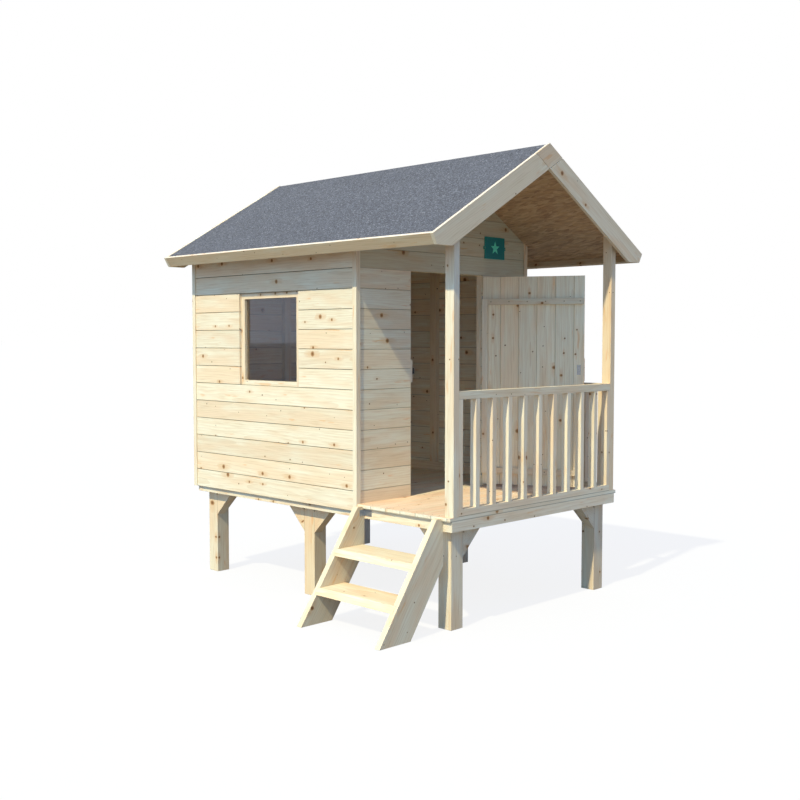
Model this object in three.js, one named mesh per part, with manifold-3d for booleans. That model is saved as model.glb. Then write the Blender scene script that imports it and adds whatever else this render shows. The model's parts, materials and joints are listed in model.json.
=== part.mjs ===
// A child's stilt playhouse of planed softwood.
// A boarded cabin with a pitched felt roof stands on six braced legs, behind a veranda with a railing and a ladder.
// Lengths are in millimetres. X runs across the house, Y from the veranda to the rear wall, Z up from the ground.
import * as THREE from "three";
import { mergeVertices } from "three/addons/utils/BufferGeometryUtils.js";
import Module from "manifold-3d";

const wasm = await Module();
wasm.setup();

// Overall sizes
const houseWidth = 1200;
const houseLength = 1240;
const verandaDepth = 558;
const frameTopHeight = 465;
const roofSlopeDegrees = 30.5;

// Clearances, and how far a cutting or joining solid runs past the face that it meets
const fitGap = 0.3;
const overrun = 5;

// Tongued boards, with a small V at each joint, and the battens behind them
const boardFaceWidth = 90;
const claddingThickness = 12;
const claddingDrop = 18;
const deckThickness = 16;
const jointWidth = 4;
const jointDepth = 2.5;
const battenWidth = 45;
const battenDepth = 28;

// Floor frame, legs and braces
const beamThickness = 38;
const beamHeight = 45;
const joistSpacing = 365;
const legSize = 72;
const middleLegFromFront = 346;
const braceWidth = 70;
const braceThickness = 45;
const braceNotch = 20;
const braceAngleDegrees = 45;

// Window opening, its frame and its pane
const windowFromFront = 396;
const windowWidth = 453;
const windowAboveCladdingFoot = 540;
const windowHeight = 450;
const sashWidth = 28;
const sashSillHeight = 23;
const sashDepth = 28;
const paneThickness = 4;
const paneSeat = 5;

// Doorway and the ledged door
const doorwayWidth = 512;
const doorwayHeight = 1046;
const wallAboveDoorway = 165;
const doorSideGap = 6;
const doorBottomGap = 14;
const doorTopGap = 10;
const doorThickness = 12;
const ledgeHeight = 28;
const ledgeThickness = 16;
const topLedgeBelowTop = 108;
const bottomLedgeAboveBottom = 55;
const doorOpenDegrees = 117;

// Butt hinges with a flat leaf and a round pin
const knuckleRadius = 4;
const hingePinRadius = 2;
const hingeLeafWidth = 30;
const hingeLeafThickness = 2;
const hingeHeight = 60;
const hingeSides = 24;

// Door pull, catch and strike plate
const handleHeight = 110;
const handleWidth = 20;
const handleReach = 24;
const handleChamfer = 4;
const handleMiddleHeight = 1064;
const catchBlockWidth = 16;
const catchBlockDepth = 20;
const catchBlockHeight = 105;
const magnetWidth = 12;
const magnetHeight = 28;
const strikeWidth = 18;
const strikeHeight = 48;
const strikeThickness = 1.4;
const strikeFromEdge = 15;

// Veranda posts and railing
const postWidth = 34;
const postDepth = 48;
const postInset = 8;
const railDepth = 32;
const topRailHeight = 34;
const topRailAboveDeck = 518;
const bottomRailHeight = 30;
const balusterWidth = 24;
const balusterSpacing = 106.2;

// Ladder at the left side of the veranda
const stairAngleDegrees = 55.4;
const stairReach = 369;
const stringerWidth = 145;
const stringerThickness = 28;
const stringerBelowDeck = 6;
const frontStringerFromDeckEdge = 48;
const rearStringerFromHouse = 10;
const treadThickness = 28;
const treadDepth = 147;
const treadHousing = 13;
const lowerTreadHeight = 153;
const upperTreadHeight = 306;

// Roof
const eaveOverhang = 149;
const gableClearOfPosts = 24;
const gableClearOfTrim = 21;
const roofBoardThickness = 12;
const feltThickness = 3;
const feltRecess = 3;
const fasciaThickness = 16;
const fasciaDepth = 50;
const bargeboardWidth = 95;
const bargeboardThickness = 16;
const bargeboardGap = 2;

// Corner trims and sign plate
const trimLeg = 25;
const trimThickness = 5;
const signWidth = 149;
const signHeight = 108;
const signThickness = 6;
const signTabWidth = 8;
const signTabHeight = 16;
const signFromGableEnd = 258;
const signAboveDoorway = 138;

// Places that follow from the sizes above
const halfWidth = houseWidth / 2;
const frameHalfWidth = halfWidth - claddingThickness;
const deckTop = frameTopHeight + deckThickness;
const beamBottom = frameTopHeight - beamHeight;
const claddingBottom = frameTopHeight - claddingDrop;
const frameFront = -verandaDepth;
const frameRear = houseLength - claddingThickness;
const wallDepth = claddingThickness + battenDepth;
const doorwayTop = deckTop + doorwayHeight;
const claddingTop = doorwayTop + wallAboveDoorway;
const doorwayHalf = doorwayWidth / 2;
const roofSlope = THREE.MathUtils.degToRad(roofSlopeDegrees);
const roofBoardTop = -(feltRecess + feltThickness + fitGap);
const roofBoardBottom = roofBoardTop - roofBoardThickness;
const undersideDrop = (fitGap - roofBoardBottom) / Math.cos(roofSlope);
const ridgeHeight = claddingTop + halfWidth * Math.tan(roofSlope) + undersideDrop;
const slopeLength = (halfWidth + eaveOverhang) / Math.cos(roofSlope);

// Height of the roof boards' underside over a place across the house, less the fitting gap.
function roofUnderside(x) {
  return ridgeHeight - Math.abs(x) * Math.tan(roofSlope) - undersideDrop;
}

// Closed solids from outlines
function shapeOf(points, holes = []) {
  const shape = new THREE.Shape(points.map(([a, b]) => new THREE.Vector2(a, b)));
  for (const hole of holes) {
    shape.holes.push(new THREE.Path(hole.map(([a, b]) => new THREE.Vector2(a, b))));
  }
  return shape;
}

// A prism along X over an outline of [y, z] points.
function prismAlongX(points, from, to, holes = []) {
  const geometry = new THREE.ExtrudeGeometry(shapeOf(points, holes), { depth: to - from, bevelEnabled: false });
  const turn = new THREE.Matrix4().makeBasis(
    new THREE.Vector3(0, 1, 0),
    new THREE.Vector3(0, 0, 1),
    new THREE.Vector3(1, 0, 0),
  );
  return geometry.applyMatrix4(turn).translate(from, 0, 0);
}

// A prism along Y over an outline of [x, z] points.
function prismAlongY(points, from, to, holes = []) {
  const geometry = new THREE.ExtrudeGeometry(shapeOf(points, holes), { depth: to - from, bevelEnabled: false });
  return geometry.rotateX(Math.PI / 2).translate(0, to, 0);
}

// A prism along Z over an outline of [x, y] points.
function prismAlongZ(points, from, to, holes = []) {
  const geometry = new THREE.ExtrudeGeometry(shapeOf(points, holes), { depth: to - from, bevelEnabled: false });
  return geometry.translate(0, 0, from);
}

// A block between two limits on each axis, in either order.
function blockBetween([x0, x1], [y0, y1], [z0, z1]) {
  const block = new THREE.BoxGeometry(Math.abs(x1 - x0), Math.abs(y1 - y0), Math.abs(z1 - z0));
  return block.translate((x0 + x1) / 2, (y0 + y1) / 2, (z0 + z1) / 2);
}

function rectangle(a0, a1, b0, b1) {
  return [
    [a0, b0],
    [a1, b0],
    [a1, b1],
    [a0, b1],
  ];
}

// An upright round bar about the Z axis.
function roundBar(radius, from, to) {
  const bar = new THREE.CylinderGeometry(radius, radius, to - from, hingeSides);
  return bar.rotateX(Math.PI / 2).translate(0, 0, (from + to) / 2);
}

// Joining and cutting
function solidOf(geometry) {
  const bare = geometry.clone();
  bare.deleteAttribute("normal");
  bare.deleteAttribute("uv");
  const merged = mergeVertices(bare);
  const mesh = new wasm.Mesh({
    numProp: 3,
    vertProperties: new Float32Array(merged.attributes.position.array),
    triVerts: new Uint32Array(merged.index.array),
  });
  return new wasm.Manifold(mesh);
}

function geometryOf(solid) {
  const mesh = solid.getMesh();
  const geometry = new THREE.BufferGeometry();
  geometry.setAttribute("position", new THREE.BufferAttribute(mesh.vertProperties, 3));
  geometry.setIndex(new THREE.BufferAttribute(mesh.triVerts, 1));
  const faceted = geometry.toNonIndexed();
  faceted.computeVertexNormals();
  return faceted;
}

function joined(first, ...others) {
  let solid = solidOf(first);
  for (const other of others) {
    solid = solid.add(solidOf(other));
  }
  return geometryOf(solid);
}

function cut(body, ...tools) {
  let solid = solidOf(body);
  for (const tool of tools) {
    solid = solid.subtract(solidOf(tool));
  }
  return geometryOf(solid);
}

// Finishes
const finishes = {
  pine: { color: 0xe6cfa0, roughness: 0.72, metalness: 0 },
  roofBoard: { color: 0xa5814f, roughness: 0.85, metalness: 0 },
  felt: { color: 0x5c5f6e, roughness: 0.95, metalness: 0 },
  zinc: { color: 0xb4b9be, roughness: 0.35, metalness: 0.9 },
  blackPlastic: { color: 0x17181a, roughness: 0.5, metalness: 0 },
  pane: { color: 0xc9d6dc, roughness: 0.08, metalness: 0 },
  sign: { color: 0x0e6b63, roughness: 0.4, metalness: 0 },
};

function addPiece(parent, name, finish, geometry, [x, y, z], turn = [0, 0, 0]) {
  const mesh = new THREE.Mesh(geometry, new THREE.MeshStandardMaterial(finishes[finish]));
  mesh.name = name;
  mesh.position.set(x, y, z);
  mesh.rotation.set(...turn);
  parent.add(mesh);
  return mesh;
}

// A squared length of timber or a plate between two limits on each axis.
function addBlock(parent, name, finish, [x0, x1], [y0, y1], [z0, z1]) {
  const size = [Math.abs(x1 - x0), Math.abs(y1 - y0), Math.abs(z1 - z0)];
  const middle = [(x0 + x1) / 2, (y0 + y1) / 2, (z0 + z1) / 2];
  return addPiece(parent, name, finish, new THREE.BoxGeometry(...size), middle);
}

// Tongued boards laid edge to edge in the XZ plane, outer face at y = 0, with a V at both faces of every joint.
// Joints are places along Z for boards that lie level, or along X for boards that stand.
function jointOutlines(thickness, joint) {
  const half = (jointWidth / 2) * (1 + overrun / jointDepth);
  return [
    [0, 1],
    [thickness, -1],
  ].map(([face, inward]) => [
    [face + inward * jointDepth, joint],
    [face - inward * overrun, joint + half],
    [face - inward * overrun, joint - half],
  ]);
}

function levelBoards(outline, thickness, joints, holes = []) {
  const reach = outline.map(([x]) => x);
  const from = Math.min(...reach) - overrun;
  const to = Math.max(...reach) + overrun;
  const grooves = joints.flatMap((joint) => jointOutlines(thickness, joint));
  return cut(prismAlongY(outline, 0, thickness, holes), ...grooves.map((groove) => prismAlongX(groove, from, to)));
}

function standingBoards(width, height, thickness, joints) {
  const swap = (outline) => outline.map(([y, x]) => [x, y]);
  const grooves = joints.flatMap((joint) => jointOutlines(thickness, joint).map(swap));
  const leaf = prismAlongY(rectangle(0, width, 0, height), 0, thickness);
  return cut(leaf, ...grooves.map((groove) => prismAlongZ(groove, -overrun, height + overrun)));
}

// Joints of level boards between two heights, counted from the lowest cladding board.
function jointsBetween(datum, low, high) {
  const joints = [];
  for (let joint = datum + boardFaceWidth; joint < high - jointWidth; joint += boardFaceWidth) {
    if (joint > low + jointWidth) {
      joints.push(joint);
    }
  }
  return joints;
}

// A batten behind a boarded panel, let into the boards' joints.
function batten(x, z) {
  return blockBetween(x, [claddingThickness - overrun, wallDepth], z);
}

const playhouse = new THREE.Group();

// Legs, each with its braces up to the floor frame
function braceOutline(direction) {
  const slope = Math.tan(THREE.MathUtils.degToRad(braceAngleDegrees));
  const nearEdge = legSize / 2 + braceNotch;
  const farEdge = nearEdge + braceWidth / Math.sin(THREE.MathUtils.degToRad(braceAngleDegrees));
  const foot = legSize / 2 - overrun;
  return [
    [foot, beamBottom - (farEdge - foot) * slope],
    [farEdge + beamHeight / slope, frameTopHeight],
    [nearEdge + beamHeight / slope, frameTopHeight],
    [foot, beamBottom - (nearEdge - foot) * slope],
  ].map(([along, z]) => [direction * along, z]);
}

const legX = frameHalfWidth - beamThickness - legSize / 2;
const legPlaces = {
  front: { y: frameFront + beamThickness + legSize / 2, lengthways: [1], crossFace: -1 },
  middle: { y: middleLegFromFront + legSize / 2, lengthways: [1, -1], crossFace: 0 },
  rear: { y: frameRear - beamThickness - legSize / 2, lengthways: [-1], crossFace: 1 },
};

for (const [row, place] of Object.entries(legPlaces)) {
  for (const [hand, side] of [["left", -1], ["right", 1]]) {
    const half = legSize / 2;
    const braces = place.lengthways.map((direction) => {
      const faces = [side * half, side * (half - braceThickness)];
      return prismAlongX(braceOutline(direction), Math.min(...faces), Math.max(...faces));
    });
    if (place.crossFace !== 0) {
      const faces = [place.crossFace * half, place.crossFace * (half - braceThickness)];
      braces.push(prismAlongY(braceOutline(-side), Math.min(...faces), Math.max(...faces)));
    }
    const leg = blockBetween([-half, half], [-half, half], [0, frameTopHeight]);
    addPiece(playhouse, `leg_${row}_${hand}`, "pine", joined(leg, ...braces), [side * legX, place.y, 0]);
  }
}

// Floor frame: two end beams with the side beams and two joists between them
const beamRise = [beamBottom, frameTopHeight];
const betweenEnds = [frameFront + beamThickness, frameRear - beamThickness];
const acrossFrame = [-frameHalfWidth, frameHalfWidth];
addBlock(playhouse, "floor_beam_front", "pine", acrossFrame, [frameFront, betweenEnds[0]], beamRise);
addBlock(playhouse, "floor_beam_rear", "pine", acrossFrame, [betweenEnds[1], frameRear], beamRise);
for (const [hand, side] of [["left", -1], ["right", 1]]) {
  const beam = [side * (frameHalfWidth - beamThickness), side * frameHalfWidth];
  const joist = [(side * joistSpacing - beamThickness) / 2, (side * joistSpacing + beamThickness) / 2];
  addBlock(playhouse, `floor_beam_${hand}`, "pine", beam, betweenEnds, beamRise);
  addBlock(playhouse, `floor_joist_${hand}`, "pine", joist, betweenEnds, beamRise);
}

// Deck and cabin floor, boards laid across the house
function addFloor(name, halfSpan, front, rear) {
  const length = rear - front;
  const outline = rectangle(-halfSpan, halfSpan, 0, length);
  const boards = levelBoards(outline, deckThickness, jointsBetween(0, 0, length));
  addPiece(playhouse, name, "pine", boards, [0, front, deckTop], [-Math.PI / 2, 0, 0]);
}

addFloor("veranda_deck", halfWidth, -verandaDepth, 0);
addFloor("house_floor", frameHalfWidth, 0, frameRear);

// Side walls: boards with a plate at top and bottom and upright battens, the left one round the window
const wallBottomPlate = [deckTop, deckTop + battenWidth];
const wallTopPlate = [claddingTop - battenWidth, claddingTop];
const windowBottom = claddingBottom + windowAboveCladdingFoot;
const windowTop = windowBottom + windowHeight;

function addSideWall(name, side, windowSpan, innerStuds) {
  const outline = rectangle(0, houseLength, claddingBottom, claddingTop);
  const joints = jointsBetween(claddingBottom, claddingBottom, claddingTop);
  const holes = windowSpan ? [rectangle(...windowSpan, windowBottom, windowTop)] : [];
  const framed = [wallDepth, houseLength - wallDepth];
  const parts = [
    batten(framed, wallBottomPlate),
    batten(framed, wallTopPlate),
    batten([framed[0], framed[0] + battenWidth], [deckTop, claddingTop]),
    batten([framed[1] - battenWidth, framed[1]], [deckTop, claddingTop]),
  ];
  for (const start of innerStuds) {
    parts.push(batten([start, start + battenWidth], [deckTop, claddingTop]));
  }
  if (windowSpan) {
    const [left, right] = windowSpan;
    parts.push(batten([left - overrun, right + overrun], [windowBottom - battenWidth, windowBottom]));
    parts.push(batten([left - overrun, right + overrun], [windowTop, windowTop + battenWidth]));
  }
  const boards = levelBoards(outline, claddingThickness, joints, holes);
  const origin = [side * halfWidth, side < 0 ? houseLength : 0, 0];
  addPiece(playhouse, name, "pine", joined(boards, ...parts), origin, [0, 0, (side * Math.PI) / 2]);
}

const windowEnd = houseLength - windowFromFront;
const windowStart = windowEnd - windowWidth;
addSideWall("wall_left", -1, [windowStart, windowEnd], [windowStart - battenWidth, windowEnd]);
addSideWall("wall_right", 1, null, [(houseLength - battenWidth) / 2]);

// Rear wall with its gable, framed all round and with a middle stud
function gableOutline(halfSpan, bottom, inset) {
  const drop = inset / Math.cos(roofSlope);
  return [
    [-halfSpan, bottom],
    [halfSpan, bottom],
    [halfSpan, roofUnderside(halfSpan) - drop],
    [0, roofUnderside(0) - drop],
    [-halfSpan, roofUnderside(halfSpan) - drop],
  ];
}

function gableFrame(halfSpan, bottom) {
  const inner = gableOutline(halfSpan - battenWidth, bottom + battenWidth, battenWidth);
  return prismAlongY(gableOutline(halfSpan, bottom, 0), claddingThickness - overrun, wallDepth, [inner]);
}

const rearJoints = jointsBetween(claddingBottom, claddingBottom, roofUnderside(0) - claddingThickness);
const rearBoards = levelBoards(gableOutline(frameHalfWidth, claddingBottom, 0), claddingThickness, rearJoints);
const rearStudTop = roofUnderside(0) - battenWidth;
const rearStud = batten([-battenWidth / 2, battenWidth / 2], [deckTop + overrun, rearStudTop]);
const rearWall = joined(rearBoards, gableFrame(frameHalfWidth, deckTop), rearStud);
addPiece(playhouse, "wall_rear", "pine", rearWall, [0, houseLength, 0], [0, 0, Math.PI]);

// Front wall: a framed panel at each side of the doorway and the gable above them
const frontJoints = jointsBetween(claddingBottom, deckTop, doorwayTop);
for (const [hand, side] of [["left", -1], ["right", 1]]) {
  const span = [side * doorwayHalf, side * frameHalfWidth].sort((a, b) => a - b);
  const outline = rectangle(...span, deckTop, doorwayTop);
  const frame = prismAlongY(outline, claddingThickness - overrun, wallDepth, [
    rectangle(span[0] + battenWidth, span[1] - battenWidth, deckTop + battenWidth, doorwayTop - battenWidth),
  ]);
  const panel = joined(levelBoards(outline, claddingThickness, frontJoints), frame);
  addPiece(playhouse, `wall_front_${hand}`, "pine", panel, [0, 0, 0]);
}

const gableJoints = jointsBetween(doorwayTop, doorwayTop, roofUnderside(0) - claddingThickness);
const gableBoards = levelBoards(gableOutline(frameHalfWidth, doorwayTop, 0), claddingThickness, gableJoints);
const frontGable = joined(gableBoards, gableFrame(frameHalfWidth, doorwayTop));
addPiece(playhouse, "wall_front_gable", "pine", frontGable, [0, 0, 0]);

// Corner trims: an L over each corner, its top cut to the roof, the front ones standing on the deck
function trimOutline(side, inner, outer, bottom) {
  return [
    [side * inner, bottom],
    [side * outer, bottom],
    [side * outer, roofUnderside(outer)],
    [side * inner, roofUnderside(inner)],
  ];
}

const trimOuter = halfWidth + trimThickness;
for (const [end, faceY, outward, bottom] of [
  ["front", 0, -1, deckTop],
  ["rear", houseLength, 1, claddingBottom],
]) {
  for (const [hand, side] of [["left", -1], ["right", 1]]) {
    const outerY = outward * trimThickness;
    const sideLeg = [outerY, outerY - outward * trimLeg].sort((a, b) => a - b);
    const endLeg = [outerY, 0].sort((a, b) => a - b);
    const trim = joined(
      prismAlongY(trimOutline(side, halfWidth, trimOuter, claddingBottom), ...sideLeg),
      prismAlongY(trimOutline(side, trimOuter - trimLeg, trimOuter, bottom), ...endLeg),
    );
    addPiece(playhouse, `corner_trim_${end}_${hand}`, "pine", trim, [0, faceY, 0]);
  }
}

// Window: a sash grooved for its pane, behind the boards of the left wall
const sashY = [windowFromFront + fitGap, windowFromFront + windowWidth - fitGap];
const sashZ = [windowBottom + fitGap, windowTop - fitGap];
const sashFront = -frameHalfWidth;
const paneFront = sashFront + (sashDepth + paneThickness) / 2;
const clearY = [sashY[0] + sashWidth, sashY[1] - sashWidth];
const clearZ = [sashZ[0] + sashSillHeight, sashZ[1] - sashWidth];
const sash = prismAlongX(rectangle(...sashY, ...sashZ), 0, sashDepth, [rectangle(...clearY, ...clearZ)]);
const grooveSize = paneSeat + fitGap;
const paneGroove = blockBetween(
  [paneFront - sashFront - fitGap, paneFront - sashFront + paneThickness + fitGap],
  [clearY[0] - grooveSize, clearY[1] + grooveSize],
  [clearZ[0] - grooveSize, clearZ[1] + grooveSize],
);
addPiece(playhouse, "window_frame", "pine", cut(sash, paneGroove), [sashFront, 0, 0]);
addBlock(
  playhouse,
  "window_pane",
  "pane",
  [paneFront, paneFront + paneThickness],
  [clearY[0] - paneSeat, clearY[1] + paneSeat],
  [clearZ[0] - paneSeat, clearZ[1] + paneSeat],
);

// Door: upright boards on two ledges and a hinge-side batten, in a group that turns about the hinge pins
const doorWidth = doorwayWidth - 2 * doorSideGap;
const doorBottom = deckTop + doorBottomGap;
const doorTop = doorwayTop - doorTopGap;
const hingeX = doorwayHalf - doorSideGap / 2;
const hingeY = -knuckleRadius;
const door = new THREE.Group();
door.position.set(hingeX, hingeY, 0);
door.rotation.z = THREE.MathUtils.degToRad(doorOpenDegrees);
playhouse.add(door);

const doorEdge = -doorSideGap / 2;
const doorFreeEdge = doorEdge - doorWidth;
const doorFace = knuckleRadius;
const doorBack = doorFace + doorThickness;
const doorJoints = [];
for (let joint = doorWidth - boardFaceWidth; joint > jointWidth; joint -= boardFaceWidth) {
  doorJoints.push(joint);
}
const leafBoards = standingBoards(doorWidth, doorTop - doorBottom, doorThickness, doorJoints);
addPiece(door, "door_leaf", "pine", leafBoards, [doorFreeEdge, doorFace, doorBottom]);

const ledgeY = [doorBack + fitGap, doorBack + fitGap + ledgeThickness];
const topLedgeZ = [doorTop - topLedgeBelowTop - ledgeHeight, doorTop - topLedgeBelowTop];
const bottomLedgeZ = [doorBottom + bottomLedgeAboveBottom, doorBottom + bottomLedgeAboveBottom + ledgeHeight];
const hingeBattenX = [doorEdge - ledgeHeight, doorEdge];
const hingeBattenZ = [bottomLedgeZ[0], topLedgeZ[1]];
const ledgeX = [doorFreeEdge, hingeBattenX[0] - fitGap];
addBlock(door, "door_top_ledge", "pine", ledgeX, ledgeY, topLedgeZ);
addBlock(door, "door_bottom_ledge", "pine", ledgeX, ledgeY, bottomLedgeZ);
addBlock(door, "door_hinge_batten", "pine", hingeBattenX, ledgeY, hingeBattenZ);

// Door pull: an upright block along the free edge with its outer corners eased
const pullHeights = [handleMiddleHeight - handleHeight / 2, handleMiddleHeight + handleHeight / 2];
const pullBack = doorFace - fitGap;
const pullFront = pullBack - handleReach;
const pullOutline = [
  [0, pullBack],
  [0, pullFront + handleChamfer],
  [handleChamfer, pullFront],
  [handleWidth - handleChamfer, pullFront],
  [handleWidth, pullFront + handleChamfer],
  [handleWidth, pullBack],
];
const pull = prismAlongZ(pullOutline, ...pullHeights);
addPiece(door, "door_handle", "pine", pull, [doorFreeEdge, 0, 0]);

// Catch: a steel plate on the door meets a magnet on a block at the free jamb
const strikeX = [doorFreeEdge + strikeFromEdge, doorFreeEdge + strikeFromEdge + strikeWidth];
const strikeY = [doorBack + fitGap, doorBack + fitGap + strikeThickness];
const strikeZ = [handleMiddleHeight - strikeHeight / 2, handleMiddleHeight + strikeHeight / 2];
addBlock(door, "door_strike_plate", "zinc", strikeX, strikeY, strikeZ);

const blockX = [-doorwayHalf, -doorwayHalf + catchBlockWidth];
const blockY = [wallDepth - catchBlockDepth, wallDepth];
const blockZ = [handleMiddleHeight - catchBlockHeight / 2, handleMiddleHeight + catchBlockHeight / 2];
const magnetZ = [handleMiddleHeight - magnetHeight / 2, handleMiddleHeight + magnetHeight / 2];
const magnetFront = hingeY + strikeY[1] + fitGap;
addBlock(playhouse, "catch_block", "pine", blockX, blockY, blockZ);
addBlock(
  playhouse,
  "catch_magnet",
  "blackPlastic",
  [blockX[1], blockX[1] + magnetWidth],
  [magnetFront, blockY[1]],
  magnetZ,
);

// Hinges: the leaf on the jamb holds the pin and two knuckles, the leaf on the door turns on the middle one
const knuckleHeight = hingeHeight / 3;
const knuckleLimits = [-hingeHeight / 2, -knuckleHeight / 2, knuckleHeight / 2, hingeHeight / 2];

function hingePlate(direction, knuckleSpans, faceY) {
  const clearOfKnuckle = knuckleRadius + fitGap;
  const outer = doorSideGap / 2 + hingeLeafWidth;
  const leaf = blockBetween(
    [direction * clearOfKnuckle, direction * outer],
    faceY,
    [-hingeHeight / 2, hingeHeight / 2],
  );
  const arms = knuckleSpans.map((span) => blockBetween([0, direction * (clearOfKnuckle + fitGap)], faceY, span));
  const knuckles = knuckleSpans.map((span) => roundBar(knuckleRadius, ...span));
  return [leaf, ...arms, ...knuckles];
}

const jambSpans = [
  [knuckleLimits[0], knuckleLimits[1] - fitGap],
  [knuckleLimits[2] + fitGap, knuckleLimits[3]],
];
const doorSpans = [[knuckleLimits[1], knuckleLimits[2]]];
const plateFaces = [knuckleRadius - fitGap - hingeLeafThickness, knuckleRadius - fitGap];
const jambPlateFaces = [knuckleRadius - hingeLeafThickness, knuckleRadius];
for (const [level, ledge] of [["upper", topLedgeZ], ["lower", bottomLedgeZ]]) {
  const height = (ledge[0] + ledge[1]) / 2;
  const pin = roundBar(hingePinRadius, knuckleLimits[0], knuckleLimits[3]);
  const jambLeaf = joined(...hingePlate(1, jambSpans, jambPlateFaces), pin);
  addPiece(playhouse, `hinge_${level}_jamb_leaf`, "zinc", jambLeaf, [hingeX, hingeY, height]);
  const bore = roundBar(hingePinRadius + fitGap, -hingeHeight, hingeHeight);
  const doorPlate = cut(joined(...hingePlate(-1, doorSpans, plateFaces)), bore);
  addPiece(door, `hinge_${level}_door_leaf`, "zinc", doorPlate, [0, 0, height]);
}

// Veranda posts, standing on the deck with their tops cut to the roof
const postOuter = frameHalfWidth - postInset;
const postInner = postOuter - postWidth;
for (const [hand, side] of [["left", -1], ["right", 1]]) {
  const outline = trimOutline(side, postInner, postOuter, deckTop);
  const post = prismAlongY(outline, 0, postDepth);
  addPiece(playhouse, `veranda_post_${hand}`, "pine", post, [0, frameFront, 0]);
}

// Railing: balusters standing on a bottom rail between two supports, under a separate top rail
function addRailing(name, length, place, turn) {
  const rails = new THREE.Group();
  rails.position.set(...place);
  rails.rotation.z = turn;
  playhouse.add(rails);
  const depth = [0, railDepth];
  const topRail = [topRailAboveDeck - topRailHeight, topRailAboveDeck];
  addBlock(rails, `${name}_top_rail`, "pine", [0, length], depth, topRail);
  const gaps = Math.round((length - balusterWidth) / balusterSpacing);
  const step = (length - balusterWidth) / gaps;
  const balusters = [];
  for (let index = 0; index <= gaps; index += 1) {
    const start = index * step;
    balusters.push(blockBetween([start, start + balusterWidth], depth, [0, topRail[0]]));
  }
  const bottomRail = blockBetween([0, length], depth, [0, bottomRailHeight]);
  addPiece(rails, `${name}_balusters`, "pine", joined(bottomRail, ...balusters), [0, 0, 0]);
}

addRailing("front", 2 * postInner, [-postInner, frameFront, deckTop], 0);
const sideRailStart = frameFront + postDepth + fitGap;
const sideRailLength = -trimThickness - fitGap - sideRailStart;
addRailing("side", sideRailLength, [postOuter, sideRailStart, deckTop], Math.PI / 2);

// Ladder: two slanting sides notched under the deck, with two treads let into grooves in them, flush at the front
const stairSlope = Math.tan(THREE.MathUtils.degToRad(stairAngleDegrees));
const stringerSpan = stringerWidth / Math.sin(THREE.MathUtils.degToRad(stairAngleDegrees));
const stringerFoot = -frameHalfWidth - stairReach;
const stringerTop = deckTop - stringerBelowDeck;
const deckSide = -halfWidth - fitGap;
const frameSide = -frameHalfWidth - fitGap;

function stringerFrontX(z) {
  return stringerFoot + z / stairSlope;
}

const stringerOutline = [
  [stringerFoot, 0],
  [stringerFoot + stringerSpan, 0],
  [frameSide, (frameSide - stringerFoot - stringerSpan) * stairSlope],
  [frameSide, frameTopHeight - fitGap],
  [deckSide, frameTopHeight - fitGap],
  [deckSide, stringerTop],
  [stringerFrontX(stringerTop), stringerTop],
];
const treads = [["lower", lowerTreadHeight], ["upper", upperTreadHeight]];

// The outline of a tread, or of its groove with a gap round the tread and past the front of the side.
function treadOutline(top, gap, past) {
  const back = stringerFrontX(top) + treadDepth + gap;
  const limits = [top + gap, top - treadThickness - gap];
  return [
    [stringerFrontX(limits[0]) - past, limits[0]],
    [back, limits[0]],
    [back, limits[1]],
    [stringerFrontX(limits[1]) - past, limits[1]],
  ];
}

const frontStringerY = frontStringerFromDeckEdge - verandaDepth;
const rearStringerY = -rearStringerFromHouse - stringerThickness;
const groovesFrom = {
  front: [stringerThickness - treadHousing, stringerThickness + overrun],
  rear: [-overrun, treadHousing],
};
for (const [end, y] of [["front", frontStringerY], ["rear", rearStringerY]]) {
  const grooves = treads.map(([, height]) => prismAlongY(treadOutline(height, fitGap, overrun), ...groovesFrom[end]));
  const stringer = cut(prismAlongY(stringerOutline, 0, stringerThickness), ...grooves);
  addPiece(playhouse, `step_stringer_${end}`, "pine", stringer, [0, y, 0]);
}

const treadStart = frontStringerY + stringerThickness - treadHousing + fitGap;
const treadLength = rearStringerY + treadHousing - fitGap - treadStart;
for (const [level, height] of treads) {
  const tread = prismAlongY(treadOutline(height, 0, 0), 0, treadLength);
  addPiece(playhouse, `step_tread_${level}`, "pine", tread, [0, treadStart, 0]);
}

// Roof, drawn about the ridge line: a place on a slope is a distance down it and a distance out of it
const roofFront = frameFront - gableClearOfPosts;
const roofRear = houseLength + trimThickness + gableClearOfTrim;
const roofLength = roofRear - roofFront;
const roof = new THREE.Group();
roof.position.set(0, roofFront, ridgeHeight);
playhouse.add(roof);

function onSlope(side, down, out) {
  const across = down * Math.cos(roofSlope) + out * Math.sin(roofSlope);
  return [side * across, out * Math.cos(roofSlope) - down * Math.sin(roofSlope)];
}

// The distance down a slope at which a line at a given distance out of it stands a given way off the middle.
function downAtMiddle(out, off) {
  return (off - out * Math.sin(roofSlope)) / Math.cos(roofSlope);
}

// Where a line out of the right slope meets a line out of the left one.
function acrossRidge(outRight, outLeft) {
  const sum = -(outRight + outLeft) * Math.tan(roofSlope);
  const difference = (outLeft - outRight) / Math.tan(roofSlope);
  return onSlope(1, (sum - difference) / 2, outRight);
}

const boardEnd = slopeLength - fasciaThickness - fitGap;
const roofBoardFaces = [roofBoardTop, roofBoardBottom];
for (const [hand, side] of [["left", -1], ["right", 1]]) {
  const outline = [
    onSlope(side, downAtMiddle(roofBoardFaces[0], fitGap / 2), roofBoardFaces[0]),
    onSlope(side, boardEnd, roofBoardFaces[0]),
    onSlope(side, boardEnd, roofBoardFaces[1]),
    onSlope(side, downAtMiddle(roofBoardFaces[1], fitGap / 2), roofBoardFaces[1]),
  ];
  addPiece(roof, `roof_panel_${hand}`, "roofBoard", prismAlongY(outline, 0, roofLength), [0, 0, 0]);
}

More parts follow.
